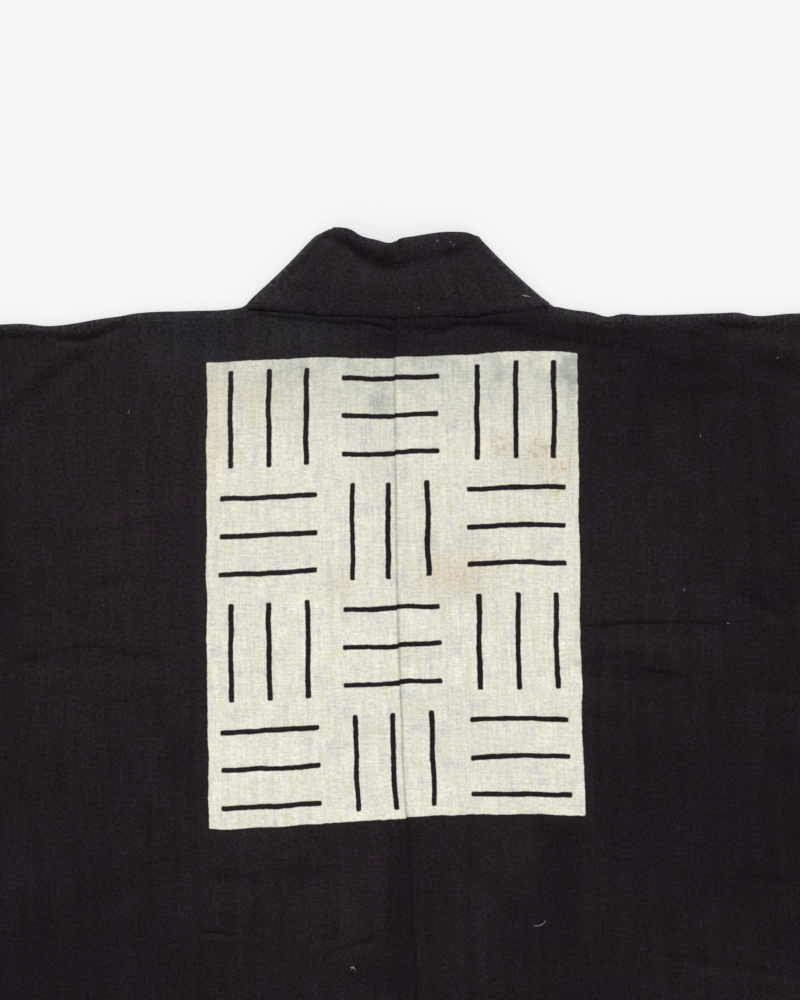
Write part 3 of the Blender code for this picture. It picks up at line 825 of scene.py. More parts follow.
@dataclass
class ClothPiece:
    """What every piece of the coat's cloth has."""

    lay: TableLay
    rounding: float = 0.35  # rounding of its edges, as a share of its wall
    fold_rows: int = 12  # rows of points round a fold
    coarse: float = 0.0029  # distance between points where the cloth is smooth
    fine: float = 0.0007  # distance between points at a seam, an edge or a fold
    reach: float = 0.0055  # how far from there the points crowd
    edge_reach: float = 0.004  # how far from the hem or the cuff they crowd
    fold_rub: Touch = Touch(0.55, 0.0075)  # rubbing about the shoulder fold
    crest_rub: Touch = Touch(0.45, 0.0025)  # what is added to it on the crest of the fold
    edge_rub: Touch = Touch(0.8, 0.004)  # rubbing of hems, cuffs and sewn edges
    seam_dark: Touch = Touch(1.4, 0.0012)  # painted shade in the centre seam's groove: how far the fading is taken down there
    neck_dark: Touch = Touch(0.8, 0.0014)  # painted shadow of the collar's edge along the neck seam: how far the fading is taken down there
    seam_dirt: Touch = Touch(0.46, 0.0012)  # painted shade in the centre seam on the cream, as grey through the smudge mark
    ridge_dirt: float = 0.10  # painted shade on the cream beside the seam, over its pressed ridge
    ridge_foot: float = 0.0010  # over what width that painted shade begins at the seam
    ridge_edge: float = 0.0060  # how far from the seam it ends
    ridge_brink: float = 0.0020  # over what width it ends

    @property
    def draft(self) -> CoatDraft:
        """The coat's cut."""
        return self.lay.draft

    def turned_over(self, x: Array, edge: Array) -> tuple[list[Array], Array]:
        """Rows round the shoulder: half a ring from the back layer down to the front layer.

        Args:
            x: The columns.
            edge: Where the middle of the wall folds, for each column.

        Returns:
            The rows, and each row's distance along the cloth from the fold's start.
        """
        radius = (self.lay.back_height(x, edge) - self.lay.front_z) / 2
        angles = np.pi / 2 - np.pi * np.arange(1, self.fold_rows) / self.fold_rows
        rows = []
        for angle in angles:
            height = self.lay.front_z + radius * (1.0 + np.sin(angle))
            rows.append(self.lay.place(x, edge + radius * np.cos(angle), height))
        return rows, (np.pi / 2 - angles) * float(radius.mean())

    def marks(self, x: Array, y: Array) -> dict[Mark, Array]:
        """Wear, fading, dirt and painted shade of the back layer.

        It is rubbed most along folds, hems, cuffs and seams.  Shade is painted in the centre seam,
        beside it over the pressed ridge, and along the neck seam.

        Args:
            x, y: Where on the coat, across and up.

        Returns:
            The values of each mark.
        """
        over_neck = np.abs(x) < self.draft.neck_half
        down = self.lay.top_edge(x, over_neck) - y
        from_edge = np.minimum(self.lay.from_loose_edge(x, y), self.lay.from_sewn_edge(x, y))
        at_fold = np.where(over_neck, 0.0, self.fold_rub.at(down) + self.crest_rub.at(down))
        worn = np.clip(at_fold + self.edge_rub.at(from_edge), 0.0, 1.0)
        faded = FADED_BASE + sum(patch.at(x, y) for patch in FADED_PATCHES)
        # Painted shade: the fading is taken down in the centre seam's groove and along the neck seam,
        # under the collar's edge.
        faded = faded - self.seam_dark.at(x) - np.where(over_neck, self.neck_dark.at(down), 0.0)
        marks = {Mark.WORN: worn, Mark.FADED: np.clip(faded, 0.0, 1.0)}
        for mark, patches in CLOTH_PATCHES.items():
            marks[mark] = strongest(patches, x, y)
        # Painted shade on the cream, in the centre seam and beside it over the pressed ridge, goes
        # into the smudge mark with the dirt.
        beside = smooth(x / self.ridge_foot) * smooth((self.ridge_edge - x) / self.ridge_brink)
        dirt = self.seam_dirt.at(x) + self.ridge_dirt * beside
        marks[Mark.SMUDGED] = np.maximum(marks[Mark.SMUDGED], dirt)
        return {mark: np.broadcast_to(values, worn.shape) for mark, values in marks.items()}

    def folded(self, x: Array, y: Array, edge: Array, front_x: Array, front_y: Array) -> Sheet:
        """A strip that runs up the back layer, round the shoulder and down the front layer.

        Args:
            x: The columns.
            y: Rows of the back layer, for each column.
            edge: Where the middle of the wall folds, for each column.
            front_x: The columns on the front layer, for each row.
            front_y: Rows of the front layer, for each column.

        Returns:
            The sheet, with the marks of its back.
        """
        lay = self.lay
        back = lay.place(x + lay.aside(x, y), y, lay.back_height(x, y))
        ring, arc = self.turned_over(x, edge)
        front = lay.place(front_x, front_y, lay.front_z + lay.under_relief(front_x, front_y))
        places = np.concatenate([back, np.array(ring), front])
        along = np.concatenate([y, edge + arc[:, None], edge + arc[-1] + (edge - front_y)])
        weave = np.stack(np.broadcast_arrays(x, along), axis=-1)
        return Sheet(places, weave, self.marks(x, y))

    def finish(
        self, piece: bpy.types.Object, node: str, slot: Slot, wall: float,
        cut: tuple[float, float], area: float | None = None,
    ) -> bpy.types.Object:
        """Gives the piece its wall, ties it to the frame and hides the part of model.glb that it
        stands for.

        Args:
            piece: The open sheet.
            node: The node of the frame that it stands for.
            slot: The finish that it takes; not used.
            wall: Thickness of the cloth.
            cut: Width and length of the flat cloth; not used.
            area: Area of the flat cloth, where it isn't a rectangle; not used.

        Returns:
            The same piece.
        """
        give_wall(piece, wall, wall * self.rounding)
        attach(piece, "root")
        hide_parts(node)
        return piece


@dataclass
class BodyPanel(ClothPiece):
    """One half of the coat: back and front in one strip, folded at the shoulder."""

    side: Side = Side.LEFT
    framed_depth: float = 0.530  # down to where the rows of the back lie close
    low_step: float = 0.0055  # distance between rows below that
    front_step: float = 0.010  # distance between rows of the front
    coarse: float = 0.0037
    fine: float = 0.0005
    row_step: float = 0.0023  # distance between rows above that
    # Where the rows crowd below the neck.
    neck_rows: tuple[float, ...] = (0.0, -0.005, -0.010, -0.015)
    # Where they crowd at the sharpest folds.
    fine_rows: tuple[float, ...] = (-0.2325, -0.2655, -0.4690)
    block_margin: float = 0.05  # how far round the block its material reaches, in blocks

    def columns(self) -> tuple[Array, Array]:
        """Columns of the strip, from the centre to the side.

        Returns:
            Distances from the centre seam, and which of them lie over the neck.
        """
        draft = self.draft
        inner, outer = draft.seam / 2, draft.body_half - draft.seam / 2
        neck = crowd(inner, draft.neck_half, self.coarse, self.fine, [inner], self.reach)
        shoulder = crowd(draft.neck_half, outer, self.coarse, self.fine, [outer], self.reach)
        distance = np.concatenate([neck, shoulder[1:]])
        return distance, np.arange(len(distance)) < len(neck) - 1

    def rows(self) -> Array:
        """Rows of the back.

        Returns:
            Shares of the way from 0 at the hem to 1 at the top.
        """
        length, framed = self.draft.length, self.framed_depth
        edges = [-length, -length + self.draft.hem]
        low = crowd(-length, -framed, self.low_step, self.fine, edges, self.edge_reach)
        places = [*self.neck_rows, *self.fine_rows]
        high = crowd(-framed, 0.0, self.row_step, self.fine, places, self.reach)
        return 1.0 + np.concatenate([low, high[1:]]) / length

    def sheet(self) -> Sheet:
        """Works out the strip from the back hem over the shoulder to the front hem.

        Returns:
            The sheet, without the neck and the front opening.
        """
        draft, sign = self.draft, self.side.value
        distance, over_neck = self.columns()
        x = sign * distance
        edge = self.lay.fold_edge(x)
        top = np.where(over_neck, draft.neck_edge(x), edge)
        up = self.rows()[:, None]
        y = -draft.length + (top + draft.length) * up
        down = np.linspace(0.0, 1.0, int(draft.length / self.front_step))[:, None]
        front_y = edge + (-draft.length - edge) * down
        outer = draft.body_half - draft.seam / 2
        share = np.clip((distance - draft.neck_half) / (outer - draft.neck_half), 0.0, 1.0)
        inner = draft.front_seam(front_y)
        front_x = sign * (inner + (outer - inner) * share)
        sheet = self.folded(x, y, edge, front_x, front_y)
        sheet.block = BackBlock().position(np.broadcast_to(x, y.shape), y)
        sheet.missing = np.zeros(sheet.places.shape[:2], bool)
        sheet.missing[len(y) :] = over_neck
        return sheet

    def build(self) -> bpy.types.Object:
        """Builds the panel.

        Returns:
            The finished piece, without its materials.
        """
        draft = self.draft
        name = f"body_{self.side.name.lower()}"
        piece = self.sheet().build(f"{name}_cloth")
        self.mark_block(piece)
        cut = (draft.body_half, 2 * draft.length)
        return self.finish(piece, name, Slot.COTTON, draft.cloth, cut, draft.body_area())

    def mark_block(self, piece: bpy.types.Object) -> None:
        """Gives the faces on and just round the block the second material.

        Args:
            piece: The panel.
        """
        mesh = piece.data
        place = np.empty(len(mesh.loops) * 2, np.float32)
        mesh.uv_layers[BLOCK_UV].data.foreach_get("uv", place)
        middle = place.reshape(-1, 4, 2).mean(axis=1)
        near = (np.abs(middle - 0.5) < 0.5 + self.block_margin).all(axis=1)
        mesh.polygons.foreach_set("material_index", near.astype(np.int32))


@dataclass
class Sleeve(ClothPiece):
    """A straight sleeve: one strip folded at the top, its edges meeting under the arm."""

    side: Side = Side.LEFT
    coarse: float = 0.0046
    front_step: float = 0.012  # distance between rows of the front

    def sheet(self) -> Sheet:
        """Works out the strip from the back's underarm edge over the fold to the front's.

        Returns:
            The sheet.
        """
        draft = self.draft
        inner, outer = draft.body_half + draft.seam / 2, draft.body_half + draft.sleeve_length
        edges = [inner, outer, outer - draft.hem]
        distance = crowd(inner, outer, self.coarse, self.fine, edges, self.edge_reach)
        x = self.side.value * distance
        edge = self.lay.fold_edge(x)
        low = -draft.sleeve_depth
        up = 1.0 - crowd(low, 0.0, self.coarse, self.fine, [low, 0.0], self.reach)[:, None] / low
        y = low + (edge - low) * up
        down = np.linspace(0.0, 1.0, int(draft.sleeve_depth / self.front_step))[:, None]
        return self.folded(x, y, edge, x, edge + (low - edge) * down)

    def build(self) -> bpy.types.Object:
        """Builds the sleeve.

        Returns:
            The finished piece, without its material.
        """
        draft = self.draft
        name = f"sleeve_{self.side.name.lower()}"
        piece = self.sheet().build(f"{name}_cloth")
        cut = (draft.sleeve_length, 2 * draft.sleeve_depth)
        return self.finish(piece, name, Slot.COTTON, draft.cloth, cut)


@dataclass(frozen=True)
class FoldOver:
    """The slanting fold at a neck corner, where the band turns over onto its front run."""

    seam: Array  # where the fold starts, at the neck corner
    free: Array  # where it ends, at the band's free edge
    side: Side
    bulge: Track  # how far the fold bows outwards, for each share of its length
    width: float = 0.62  # how wide the fold's ring is for its height
    square: float = 0.02  # share of the fold over which its ring turns square to it, from the seam
    pinched: float = 0.18  # share of the fold over which its ring narrows, towards the free edge
    narrowed: float = 0.60  # how much it narrows, as a share of its width
    rounding: float = 0.0034  # how far the ring's middle is drawn back at the free edge

    @property
    def outwards(self) -> Array:
        """Direction square to the fold, away from the neck."""
        slant = self.free - self.seam
        return np.array([self.side.value * slant[1], abs(slant[0])]) / np.linalg.norm(slant)

    def bow(self, share: Array) -> Array:
        """How far each point lies outside the straight line, as a step in the plane."""
        return self.outwards * self.bulge.at(share)[:, None]

    def line(self, share: Array) -> Array:
        """Points of the fold, from the seam to the free edge."""
        return self.seam + (self.free - self.seam) * share[:, None] + self.bow(share)

    def at_free_end(self, share: Array) -> Array:
        """0 to 1 over the pinched part of the fold."""
        return smooth((share - 1.0 + self.pinched) / self.pinched)

    def drawn_back(self, share: Array) -> Array:
        """How far the ring's middle is drawn back along the fold, which rounds the free corner."""
        slant = (self.free - self.seam) / np.linalg.norm(self.free - self.seam)
        return -slant * (self.rounding * self.at_free_end(share))[:, None]

    def lean(self, share: Array) -> Array:
        """Which way and how wide the ring stands out: less at the free end, where it is pinched.

        Args:
            share: Shares of the way from the seam to the free edge.

        Returns:
            The ring's reach in the plane for a radius of 1, one row for each share.
        """
        turned = smooth(share / self.square)
        lean = np.stack([self.outwards[0] * turned, np.full(len(share), self.outwards[1])], axis=-1)
        width = self.width * (1.0 - self.narrowed * self.at_free_end(share))
        return lean * (width / np.linalg.norm(lean, axis=1))[:, None]


@dataclass
class CollarBand(ClothPiece):
    """The doubled band: up the left front, round the back of the neck, down the right front."""

    rounding: float = 0.3
    fine: float = 0.0005
    reach: float = 0.003
    corner_room: float = 0.0005  # how far the band's seam edge stays inside the neck corner
    near_corner: float = 0.022  # how far from a corner the bow of its fold reaches
    # How far the fold at the left corner bows outwards along its length.
    left_bulge: Track = Track((
        (0.0, 0.0), (0.05, 0.0003), (0.3, 0.0003), (0.5, 0.0006), (0.6, 0.001), (0.7, 0.0015),
        (0.8, 0.002), (0.92, 0.0017), (1.0, 0.0),
    ))
    # The same at the right corner, where it mostly bows inwards.
    right_bulge: Track = Track((
        (0.0, 0.0), (0.05, -0.0008), (0.2, -0.0018), (0.35, -0.0022), (0.55, -0.0023),
        (0.75, -0.0021), (0.9, -0.0013), (1.0, 0.0),
    ))
    front_step: float = 0.008  # distance between rows on the front runs
    neck_step: float = 0.0011  # distance between rows behind the neck
    across_step: float = 0.0014  # distance between columns
    # Where the slack of the band gathers, as y for each x.
    valley: Track = Track((
        (-0.056, 0.056), (-0.047, 0.0506), (-0.035, 0.044), (-0.028, 0.0384), (-0.021, 0.0345),
        (-0.014, 0.0322), (-0.006, 0.0312), (0.002, 0.0316), (0.01, 0.0336), (0.024, 0.0362),
        (0.039, 0.0402), (0.05, 0.0455), (0.062, 0.053),
    ))
    valley_above: float = 0.0075  # how far the valley reaches above its line
    valley_below: float = 0.0110  # how far it reaches below
    # How deep it gathers there.
    sunk: Track = Track((
        (-0.056, 0.0004), (-0.046, 0.0012), (-0.034, 0.002), (-0.022, 0.0025), (-0.01, 0.0027),
        (0.0, 0.0024), (0.012, 0.0012), (0.03, 0.0009), (0.044, 0.0011), (0.052, 0.0003),
        (0.062, 0.0),
    ))
    # How far the free edge stands up past the valley.
    lip: Track = Track((
        (-0.06, 0.0), (-0.052, 0.0008), (-0.044, 0.0026), (-0.036, 0.0038), (-0.026, 0.0048),
        (-0.012, 0.0053), (-0.003, 0.0052), (0.002, 0.0044), (0.012, 0.003), (0.026, 0.0024),
        (0.04, 0.0027), (0.047, 0.0022), (0.053, 0.0005), (0.064, 0.0),
    ))
    # Share of the way from valley to free edge in which it climbs.
    ramp: Track = Track((
        (-0.06, 0.66), (-0.046, 0.66), (-0.034, 0.7), (-0.026, 0.8), (-0.012, 0.82), (0.002, 0.8),
        (0.01, 0.7), (0.026, 0.56), (0.04, 0.48), (0.064, 0.42),
    ))
    lean_back: float = 0.20  # how much of that height it loses again from there to the edge
    # The pinch where the right half laps over the left.
    lobe: Crease = Crease(
        "lobe_pinch", (-0.0010, 0.0545), (-0.0008, 0.0390), 0.0006, 0.0022, -0.0050, 0.5
    )
    # How far below the pinch's start it holds its depth up to the free edge.
    lobe_top: float = 0.003
    wrinkles: tuple[Crease, ...] = ()  # smaller folds of the band behind the neck
    wrinkle_run: float = 0.012  # over what height above the neck seam they set in
    ground_share: float = 1.4  # how much more uneven than the back it is
    # How far aside its waves are taken, so that they differ from the back's.
    ground_shift: float = 1.0
    flat_run: float = 0.010  # over what length from its fold-overs the band stays flat
    crest_share: float = 0.40  # share of the rubbing that is on the crests of its edge and folds
    edge_crest: float = 0.0030  # how far from the free edge its crest reaches
    fold_crest: float = 0.0060  # how far from a fold-over its crest reaches
    edge_rub: Touch = Touch(0.40, 0.0070)  # rubbing about the free edge
    fold_reach: float = 0.0110  # how far from a fold-over the cloth about it is rubbed
    faded_base: float = 0.55  # how far the band has faded
    low_dark: float = 0.65  # how much less it has faded at the neck seam
    low_reach: float = 0.020  # how far from the seam
    low_run: float = 0.060  # how far from its fold-overs that is full
    faded_most: float = 1.6  # how far it may have faded at most

    def level(self, from_seam: Array) -> Array:
        """Middle of the flat band, which lies lower next to the neck seam."""
        lay = self.lay
        return lay.band_z - lay.band_drop * np.clip(1.0 - from_seam / lay.drop_reach, 0.0, 1.0) ** 2

    def band_height(self, x: Array, y: Array) -> Array:
        """Middle of the band behind the neck.

        The slack of the band gathers in a valley under its free edge, which climbs past it,
        steeply on the right, where it then leans back towards the edge.

        Args:
            x, y: Where on the coat, across and up.

        Returns:
            The height at each point.
        """
        above = y - self.valley.at(x)
        room = np.maximum(self.draft.collar_edge.at(x) - self.valley.at(x), self.draft.cloth)
        width = np.where(above > 0.0, self.valley_above, self.valley_below)
        dip = self.sunk.at(x) * bell(above, width)
        up = np.clip(above / room, 0.0, 1.0)
        ramp = self.ramp.at(x)
        leaning = 1.0 - self.lean_back * np.clip(up - ramp, 0.0, 1.0)
        stand = self.lip.at(x) * smooth(up / ramp) * leaning
        pinched = self.lobe.at(x, np.minimum(y, self.lobe.start[1] - self.lobe_top))
        small = sum(wrinkle.at(x, y) for wrinkle in self.wrinkles)
        ground = sum(ripple.at(x + self.ground_shift, y) for ripple in self.lay.ripples)
        from_seam = y - self.draft.neck_seam(x)
        uneven = (small + self.ground_share * ground) * smooth(from_seam / self.wrinkle_run)
        height = self.level(from_seam) - dip + stand + pinched + uneven
        return np.maximum(height, self.draft.collar_wall / 2)

    def turn(self, fold: FoldOver, share: Array) -> list[Array]:
        """Rows of the fold-over, from the table up: half a ring carried along the fold.

        Args:
            fold: The fold.
            share: Shares of the band's width, from the seam to the free edge.

        Returns:
            The rows.
        """
        lay = self.lay
        radius = (self.level(share * self.draft.collar_width) - lay.strip_z) / 2
        line = fold.line(share)
        reach = fold.lean(share) * radius[:, None] + fold.drawn_back(share)
        rows = []
        for angle in -np.pi / 2 + np.pi * np.arange(1, self.fold_rows) / self.fold_rows:
            spot = line + reach * np.cos(angle)
            height = lay.strip_z + radius * (1 + np.sin(angle))
            rows.append(lay.place(spot[:, 0], spot[:, 1], height))
        return rows

    def front_run(self, fold: FoldOver, share: Array) -> list[Array]:
        """Rows of the band on the table, from the front hem up to the fold-over.

        Args:
            fold: The fold at its top.
            share: Shares of the band's width, from the seam to the free edge.

        Returns:
            The rows.
        """
        draft, lay, sign = self.draft, self.lay, fold.side.value
        hem_free = np.array([sign * draft.front_gap / 2, -draft.length])
        rows = []
        for up in np.linspace(0.0, 1.0, int(draft.length / self.front_step)):
            y = -draft.length + (fold.seam[1] + draft.length) * up
            inner = hem_free + (fold.free - hem_free) * up
            outer = np.array([sign * min(draft.front_seam(y) - draft.seam, abs(fold.seam[0])), y])
            near = smooth(1.0 - (1.0 - up) * draft.length / self.near_corner)
            line = outer + (inner - outer) * share[:, None] + fold.bow(share) * near
            rows.append(lay.place(line[:, 0], line[:, 1], lay.strip_z))
        return rows

    def neck_run(self, left: FoldOver, right: FoldOver, share: Array) -> Array:
        """Rows of the band behind the neck, each a line from the seam to the free edge.

        Args:
            left: The fold at its left end.
            right: The fold at its right end.
            share: Shares of the band's width, from the seam to the free edge.

        Returns:
            The rows.
        """
        draft = self.draft
        count = int(2 * draft.neck_half / self.neck_step)
        seam_x = np.linspace(left.seam[0], right.seam[0], count)[:, None]
        free_x = np.linspace(left.free[0], right.free[0], count)[:, None]
        corner_y = np.linspace(left.seam[1], right.seam[1], count)[:, None]
        seam_y = np.minimum(draft.neck_seam(seam_x), corner_y)
        x = seam_x + (free_x - seam_x) * share
        y = seam_y + (draft.collar_edge.at(free_x) - seam_y) * share
        for fold in (left, right):
            near = smooth(1.0 - np.abs(seam_x - fold.seam[0]) / self.near_corner)
            bow = fold.bow(share)
            x = x + near * bow[:, 0]
            y = y + near * bow[:, 1]
        from_fold = draft.neck_half - self.corner_room - np.abs(seam_x)
        level = self.level(share * draft.collar_width)
        height = level + (self.band_height(x, y) - level) * smooth(from_fold / self.flat_run)
        return self.lay.place(x, y, height)

    def fold_over(self, side: Side) -> FoldOver:
        """The fold at one corner, from the neck corner to the end of the free edge.

        Args:
            side: Which corner.

        Returns:
            The fold.
        """
        draft = self.draft
        corner = side.value * (draft.neck_half - self.corner_room)
        seam_y = float(draft.neck_seam(np.array(corner)))
        end = draft.collar_edge.points[0 if side is Side.LEFT else -1]
        bulge = self.left_bulge if side is Side.LEFT else self.right_bulge
        return FoldOver(np.array([corner, seam_y]), np.array(end), side, bulge)

    def sheet(self) -> Sheet:
        """Works out the band from the wearer's left front hem round to the right one.

        Returns:
            The sheet.
        """
        width = self.draft.collar_width
        share = crowd(0.0, width, self.across_step, self.fine, [0.0, width], self.reach) / width
        left, right = self.fold_over(Side.LEFT), self.fold_over(Side.RIGHT)
        up = self.front_run(left, share) + self.turn(left, share)
        down = self.turn(right, share)[::-1] + self.front_run(right, share)[::-1]
        places = np.concatenate([np.array(up), self.neck_run(left, right, share), np.array(down)])
        middle = places[:, places.shape[1] // 2]
        along = np.concatenate([[0.0], np.cumsum(np.linalg.norm(np.diff(middle, axis=0), axis=1))])
        weave = np.stack(np.broadcast_arrays(along[:, None], share * width), axis=-1)
        return Sheet(places, weave, self.band_marks(places, share))

    def band_marks(self, places: Array, share: Array) -> dict[Mark, Array]:
        """Wear of the band, most at its free edge and its slanting folds, and its fading.

        Args:
            places: Points of the band.
            share: Shares of the band's width, from the seam to the free edge.

        Returns:
            The values of both marks.
        """
        rows = len(places)
        start = int(self.draft.length / self.front_step) + self.fold_rows / 2
        row = np.minimum(np.arange(rows) - start, rows - 1 - start - np.arange(rows))
        from_fold = np.abs(row)[:, None] * self.neck_step
        from_edge = (1.0 - share) * self.draft.collar_width
        crest = np.maximum(bell(from_edge, self.edge_crest), bell(from_fold, self.fold_crest))
        about = np.maximum(self.edge_rub.at(from_edge), bell(from_fold, self.fold_reach))
        worn = self.crest_share * crest + (1.0 - self.crest_share) * about
        low = bell(share * self.draft.collar_width, self.low_reach)
        low = low * smooth(from_fold / self.low_run)
        x, y = np.moveaxis((places - self.lay.place(0.0, 0.0, 0.0))[..., :2], -1, 0)
        faded = self.faded_base - self.low_dark * low
        faded = faded + sum(patch.at(x, y) for patch in COLLAR_PATCHES)
        return {Mark.WORN: worn, Mark.FADED: np.clip(faded, 0.0, self.faded_most)}

    def build(self) -> bpy.types.Object:
        """Builds the band.

        Returns:
            The finished piece, without its material.
        """
        sheet = self.sheet()
        cut = (self.draft.collar_width, float(sheet.weave[-1, 0, 0]))
        piece = sheet.build("collar_cloth")
        return self.finish(piece, "collar", Slot.COLLAR, self.draft.collar_wall, cut)


@dataclass(frozen=True)
class Fibre:
    """A bit of lint on the cloth."""

    start: tuple[float, float]
    heading: float  # which way it sets off, in degrees from x
    long: float
    curl: float  # how many degrees it turns to the left on its way
    radius: float  # half its thickness

    def path(self, steps: int) -> tuple[Array, Array]:
        """Places along it: short equal steps, each turned a little from the last.

        Args:
            steps: How many places.

        Returns:
            Their x and their y.
        """
        turned = np.radians(self.heading + self.curl * np.linspace(0.0, 1.0, steps - 1))
        step = self.long / (steps - 1)
        x = self.start[0] + np.concatenate([[0.0], np.cumsum(np.cos(turned) * step)])
        y = self.start[1] + np.concatenate([[0.0], np.cumsum(np.sin(turned) * step)])
        return x, y


# The lint, in metres and degrees: start, heading, length, curl and radius.
LINT = (
    Fibre((-0.2035, -0.0765), 35.0, 0.0042, 60.0, 0.00011),
    Fibre((0.0922, 0.0122), -4.0, 0.0064, -16.0, 0.00017),
    Fibre((0.0938, 0.0113), 12.0, 0.0046, -30.0, 0.00014),
    Fibre((0.0950, 0.0127), -28.0, 0.0026, 50.0, 0.00012),
    Fibre((0.0925, -0.4600), -12.0, 0.0110, 70.0, 0.00014),
    Fibre((-0.0462, -0.4915), 20.0, 0.0048, -90.0, 0.00018),
    Fibre((-0.0452, -0.4930), 80.0, 0.0034, -70.0, 0.00015),
    Fibre((0.2258, -0.0940), 70.0, 0.0022, 40.0, 0.00015),
    Fibre((0.2120, -0.2095), 50.0, 0.0026, 60.0, 0.00016),
    Fibre((0.2440, -0.2330), -40.0, 0.0020, 30.0, 0.00012),
    Fibre((0.0284, 0.0522), 30.0, 0.0017, 40.0, 0.00016),
    Fibre((0.0380, 0.0520), -20.0, 0.0018, -60.0, 0.00016),
    Fibre((0.0410, 0.0490), 60.0, 0.0014, 40.0, 0.00013),
    Fibre((0.0150, 0.0018), 75.0, 0.0015, 30.0, 0.00016),
    Fibre((0.2830, -0.0350), 10.0, 0.0024, 60.0, 0.00010),
)


@dataclass
class Trimmings:
    """Lint on the cloth, and the blind stitches that hold the hem and the cuffs."""

    lay: TableLay
    band: CollarBand
    stitch_long: float = 0.0022
    stitch_every: float = 0.0090  # distance from stitch to stitch
    stitch_radius: float = 0.00022  # half the thickness of its thread
    stitch_along: float = 0.9  # how far it runs along the edge, as a share of its length
    stitch_aside: float = 0.3  # how far it runs square to the edge
    first: float = 0.006  # from a side seam or an underarm seam to the first stitch
    last: float = 0.005  # from the other side seam to where the hem's stitches stop
    cuff_last: float = 0.016  # from the shoulder line to where the cuff's stitches stop

    def surface(self, x: Array, y: Array) -> Array:
        """Upper face of the cloth at a point: the band behind the neck, else the back layer.

        Args:
            x, y: Where on the coat, across and up.

        Returns:
            Its height at each point.
        """
        draft = self.lay.draft
        on_band = (np.abs(x) < draft.neck_half) & (y > draft.neck_seam(x))
        band = self.band.band_height(x, y) + draft.collar_wall / 2
        return np.where(on_band, band, self.lay.back_height(x, y) + draft.cloth / 2)

    def tie(self, piece: bpy.types.Object) -> bpy.types.Object:
        """Ties a piece to the coat and hands it back."""
        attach(piece, "root")
        return piece

    def lint(self, steps: int = 14) -> bpy.types.Object:
        """Lays each bit of lint on the cloth.

        Args:
            steps: Points along each.

        Returns:
            All of them as one piece.
        """
        radius = np.array([fibre.radius for fibre in LINT])
        x, y = np.array([fibre.path(steps) for fibre in LINT]).transpose(1, 0, 2)
        paths = self.lay.place(x, y, self.surface(x, y) + radius[:, None])
        return self.tie(fibre_mesh("lint", paths, radius))

    def stitches(self, steps: int = 7) -> bpy.types.Object:
        """Short stitches over the edge of the turned-up cloth, each dipping in at its ends.

        A stitch rises as a parabola, from a radius below the face to a radius above it.

        Args:
            steps: Points along each.

        Returns:
            All of them as one piece.
        """
        draft, every = self.lay.draft, self.stitch_every
        hem = np.arange(-draft.body_half + self.first, draft.body_half - self.last, every)
        cuff = np.arange(-draft.sleeve_depth + self.first, -self.cuff_last, every)
        cuff_x = draft.body_half + draft.sleeve_length - draft.hem
        middle_x = np.concatenate([hem, np.full(len(cuff), -cuff_x), np.full(len(cuff), cuff_x)])
        middle_y = np.concatenate([np.full(len(hem), -draft.length + draft.hem), cuff, cuff])
        along = np.linspace(-0.5, 0.5, steps)
        run = self.stitch_long * along
        at_hem = (np.arange(len(middle_x)) < len(hem))[:, None]
        onward, aside = run * self.stitch_along, run * self.stitch_aside
        x = middle_x[:, None] + np.where(at_hem, onward, aside)
        y = middle_y[:, None] + np.where(at_hem, aside, onward)
        lift = self.stitch_radius * (1.0 - 2.0 * (2.0 * along) ** 2)
        radius = np.full(len(middle_x), self.stitch_radius)
        paths = self.lay.place(x, y, self.surface(x, y) + lift)
        return self.tie(fibre_mesh("blind_stitches", paths, radius))


# --- Finishes ---


@dataclass(frozen=True)
class BackBlock:
    """The cream block that the dye was kept off, with its pattern of bars.

    The pattern was laid on in two halves, which don't quite meet at the centre seam.
    """

    left_x: float = -0.1434  # its left edge, at the top
    right_x: float = 0.1340
    left_slant: float = 0.0130  # how far its left edge runs out for each metre down
    step_at_seam: float = 0.0009  # how much lower the right half lies
    # Its top edge, as y for each x.
    top: Track = Track((
        (-0.1434, -0.0379), (-0.09, -0.0356), (-0.0575, -0.034), (-0.025, -0.0352),
        (0.012, -0.0348), (0.048, -0.0334), (0.078, -0.0312), (0.108, -0.03), (0.135, -0.0318),
    ))
    # Its bottom edge, as y for each x.
    bottom: Track = Track((
        (-0.1434, -0.3878), (-0.086, -0.3852), (-0.04, -0.3818), (0.004, -0.3793), (0.04, -0.378),
        (0.09, -0.377), (0.135, -0.3784),
    ))
    cells_across: int = 3  # cells of the pattern
    cells_down: int = 4
    bar_spacing: float = 0.0285  # from bar to bar in a cell
    bar_length: float = 0.0735
    bar_width: float = 0.0040

    def position(self, x: Array, y: Array) -> Array:
        """Share of the way across and down the block, from its bowed edges.

        Args:
            x, y: Where on the coat, across and up.

        Returns:
            Both shares at each point.
        """
        left = self.left_x + self.left_slant * (y - self.top.points[0][1])
        across = (x - left) / (self.right_x - left)
        y = y + np.where(x > 0.0, -self.step_at_seam, 0.0)
        top, bottom = self.top.at(x), self.bottom.at(x)
        return np.stack([across, (top - y) / (top - bottom)], axis=-1)

    @property
    def width(self) -> float:
        """Width of the block in metres."""
        return self.right_x - self.left_x

    @property
    def height(self) -> float:
        """Height of the block in metres, down its left edge."""
        return self.top.points[0][1] - self.bottom.points[0][1]


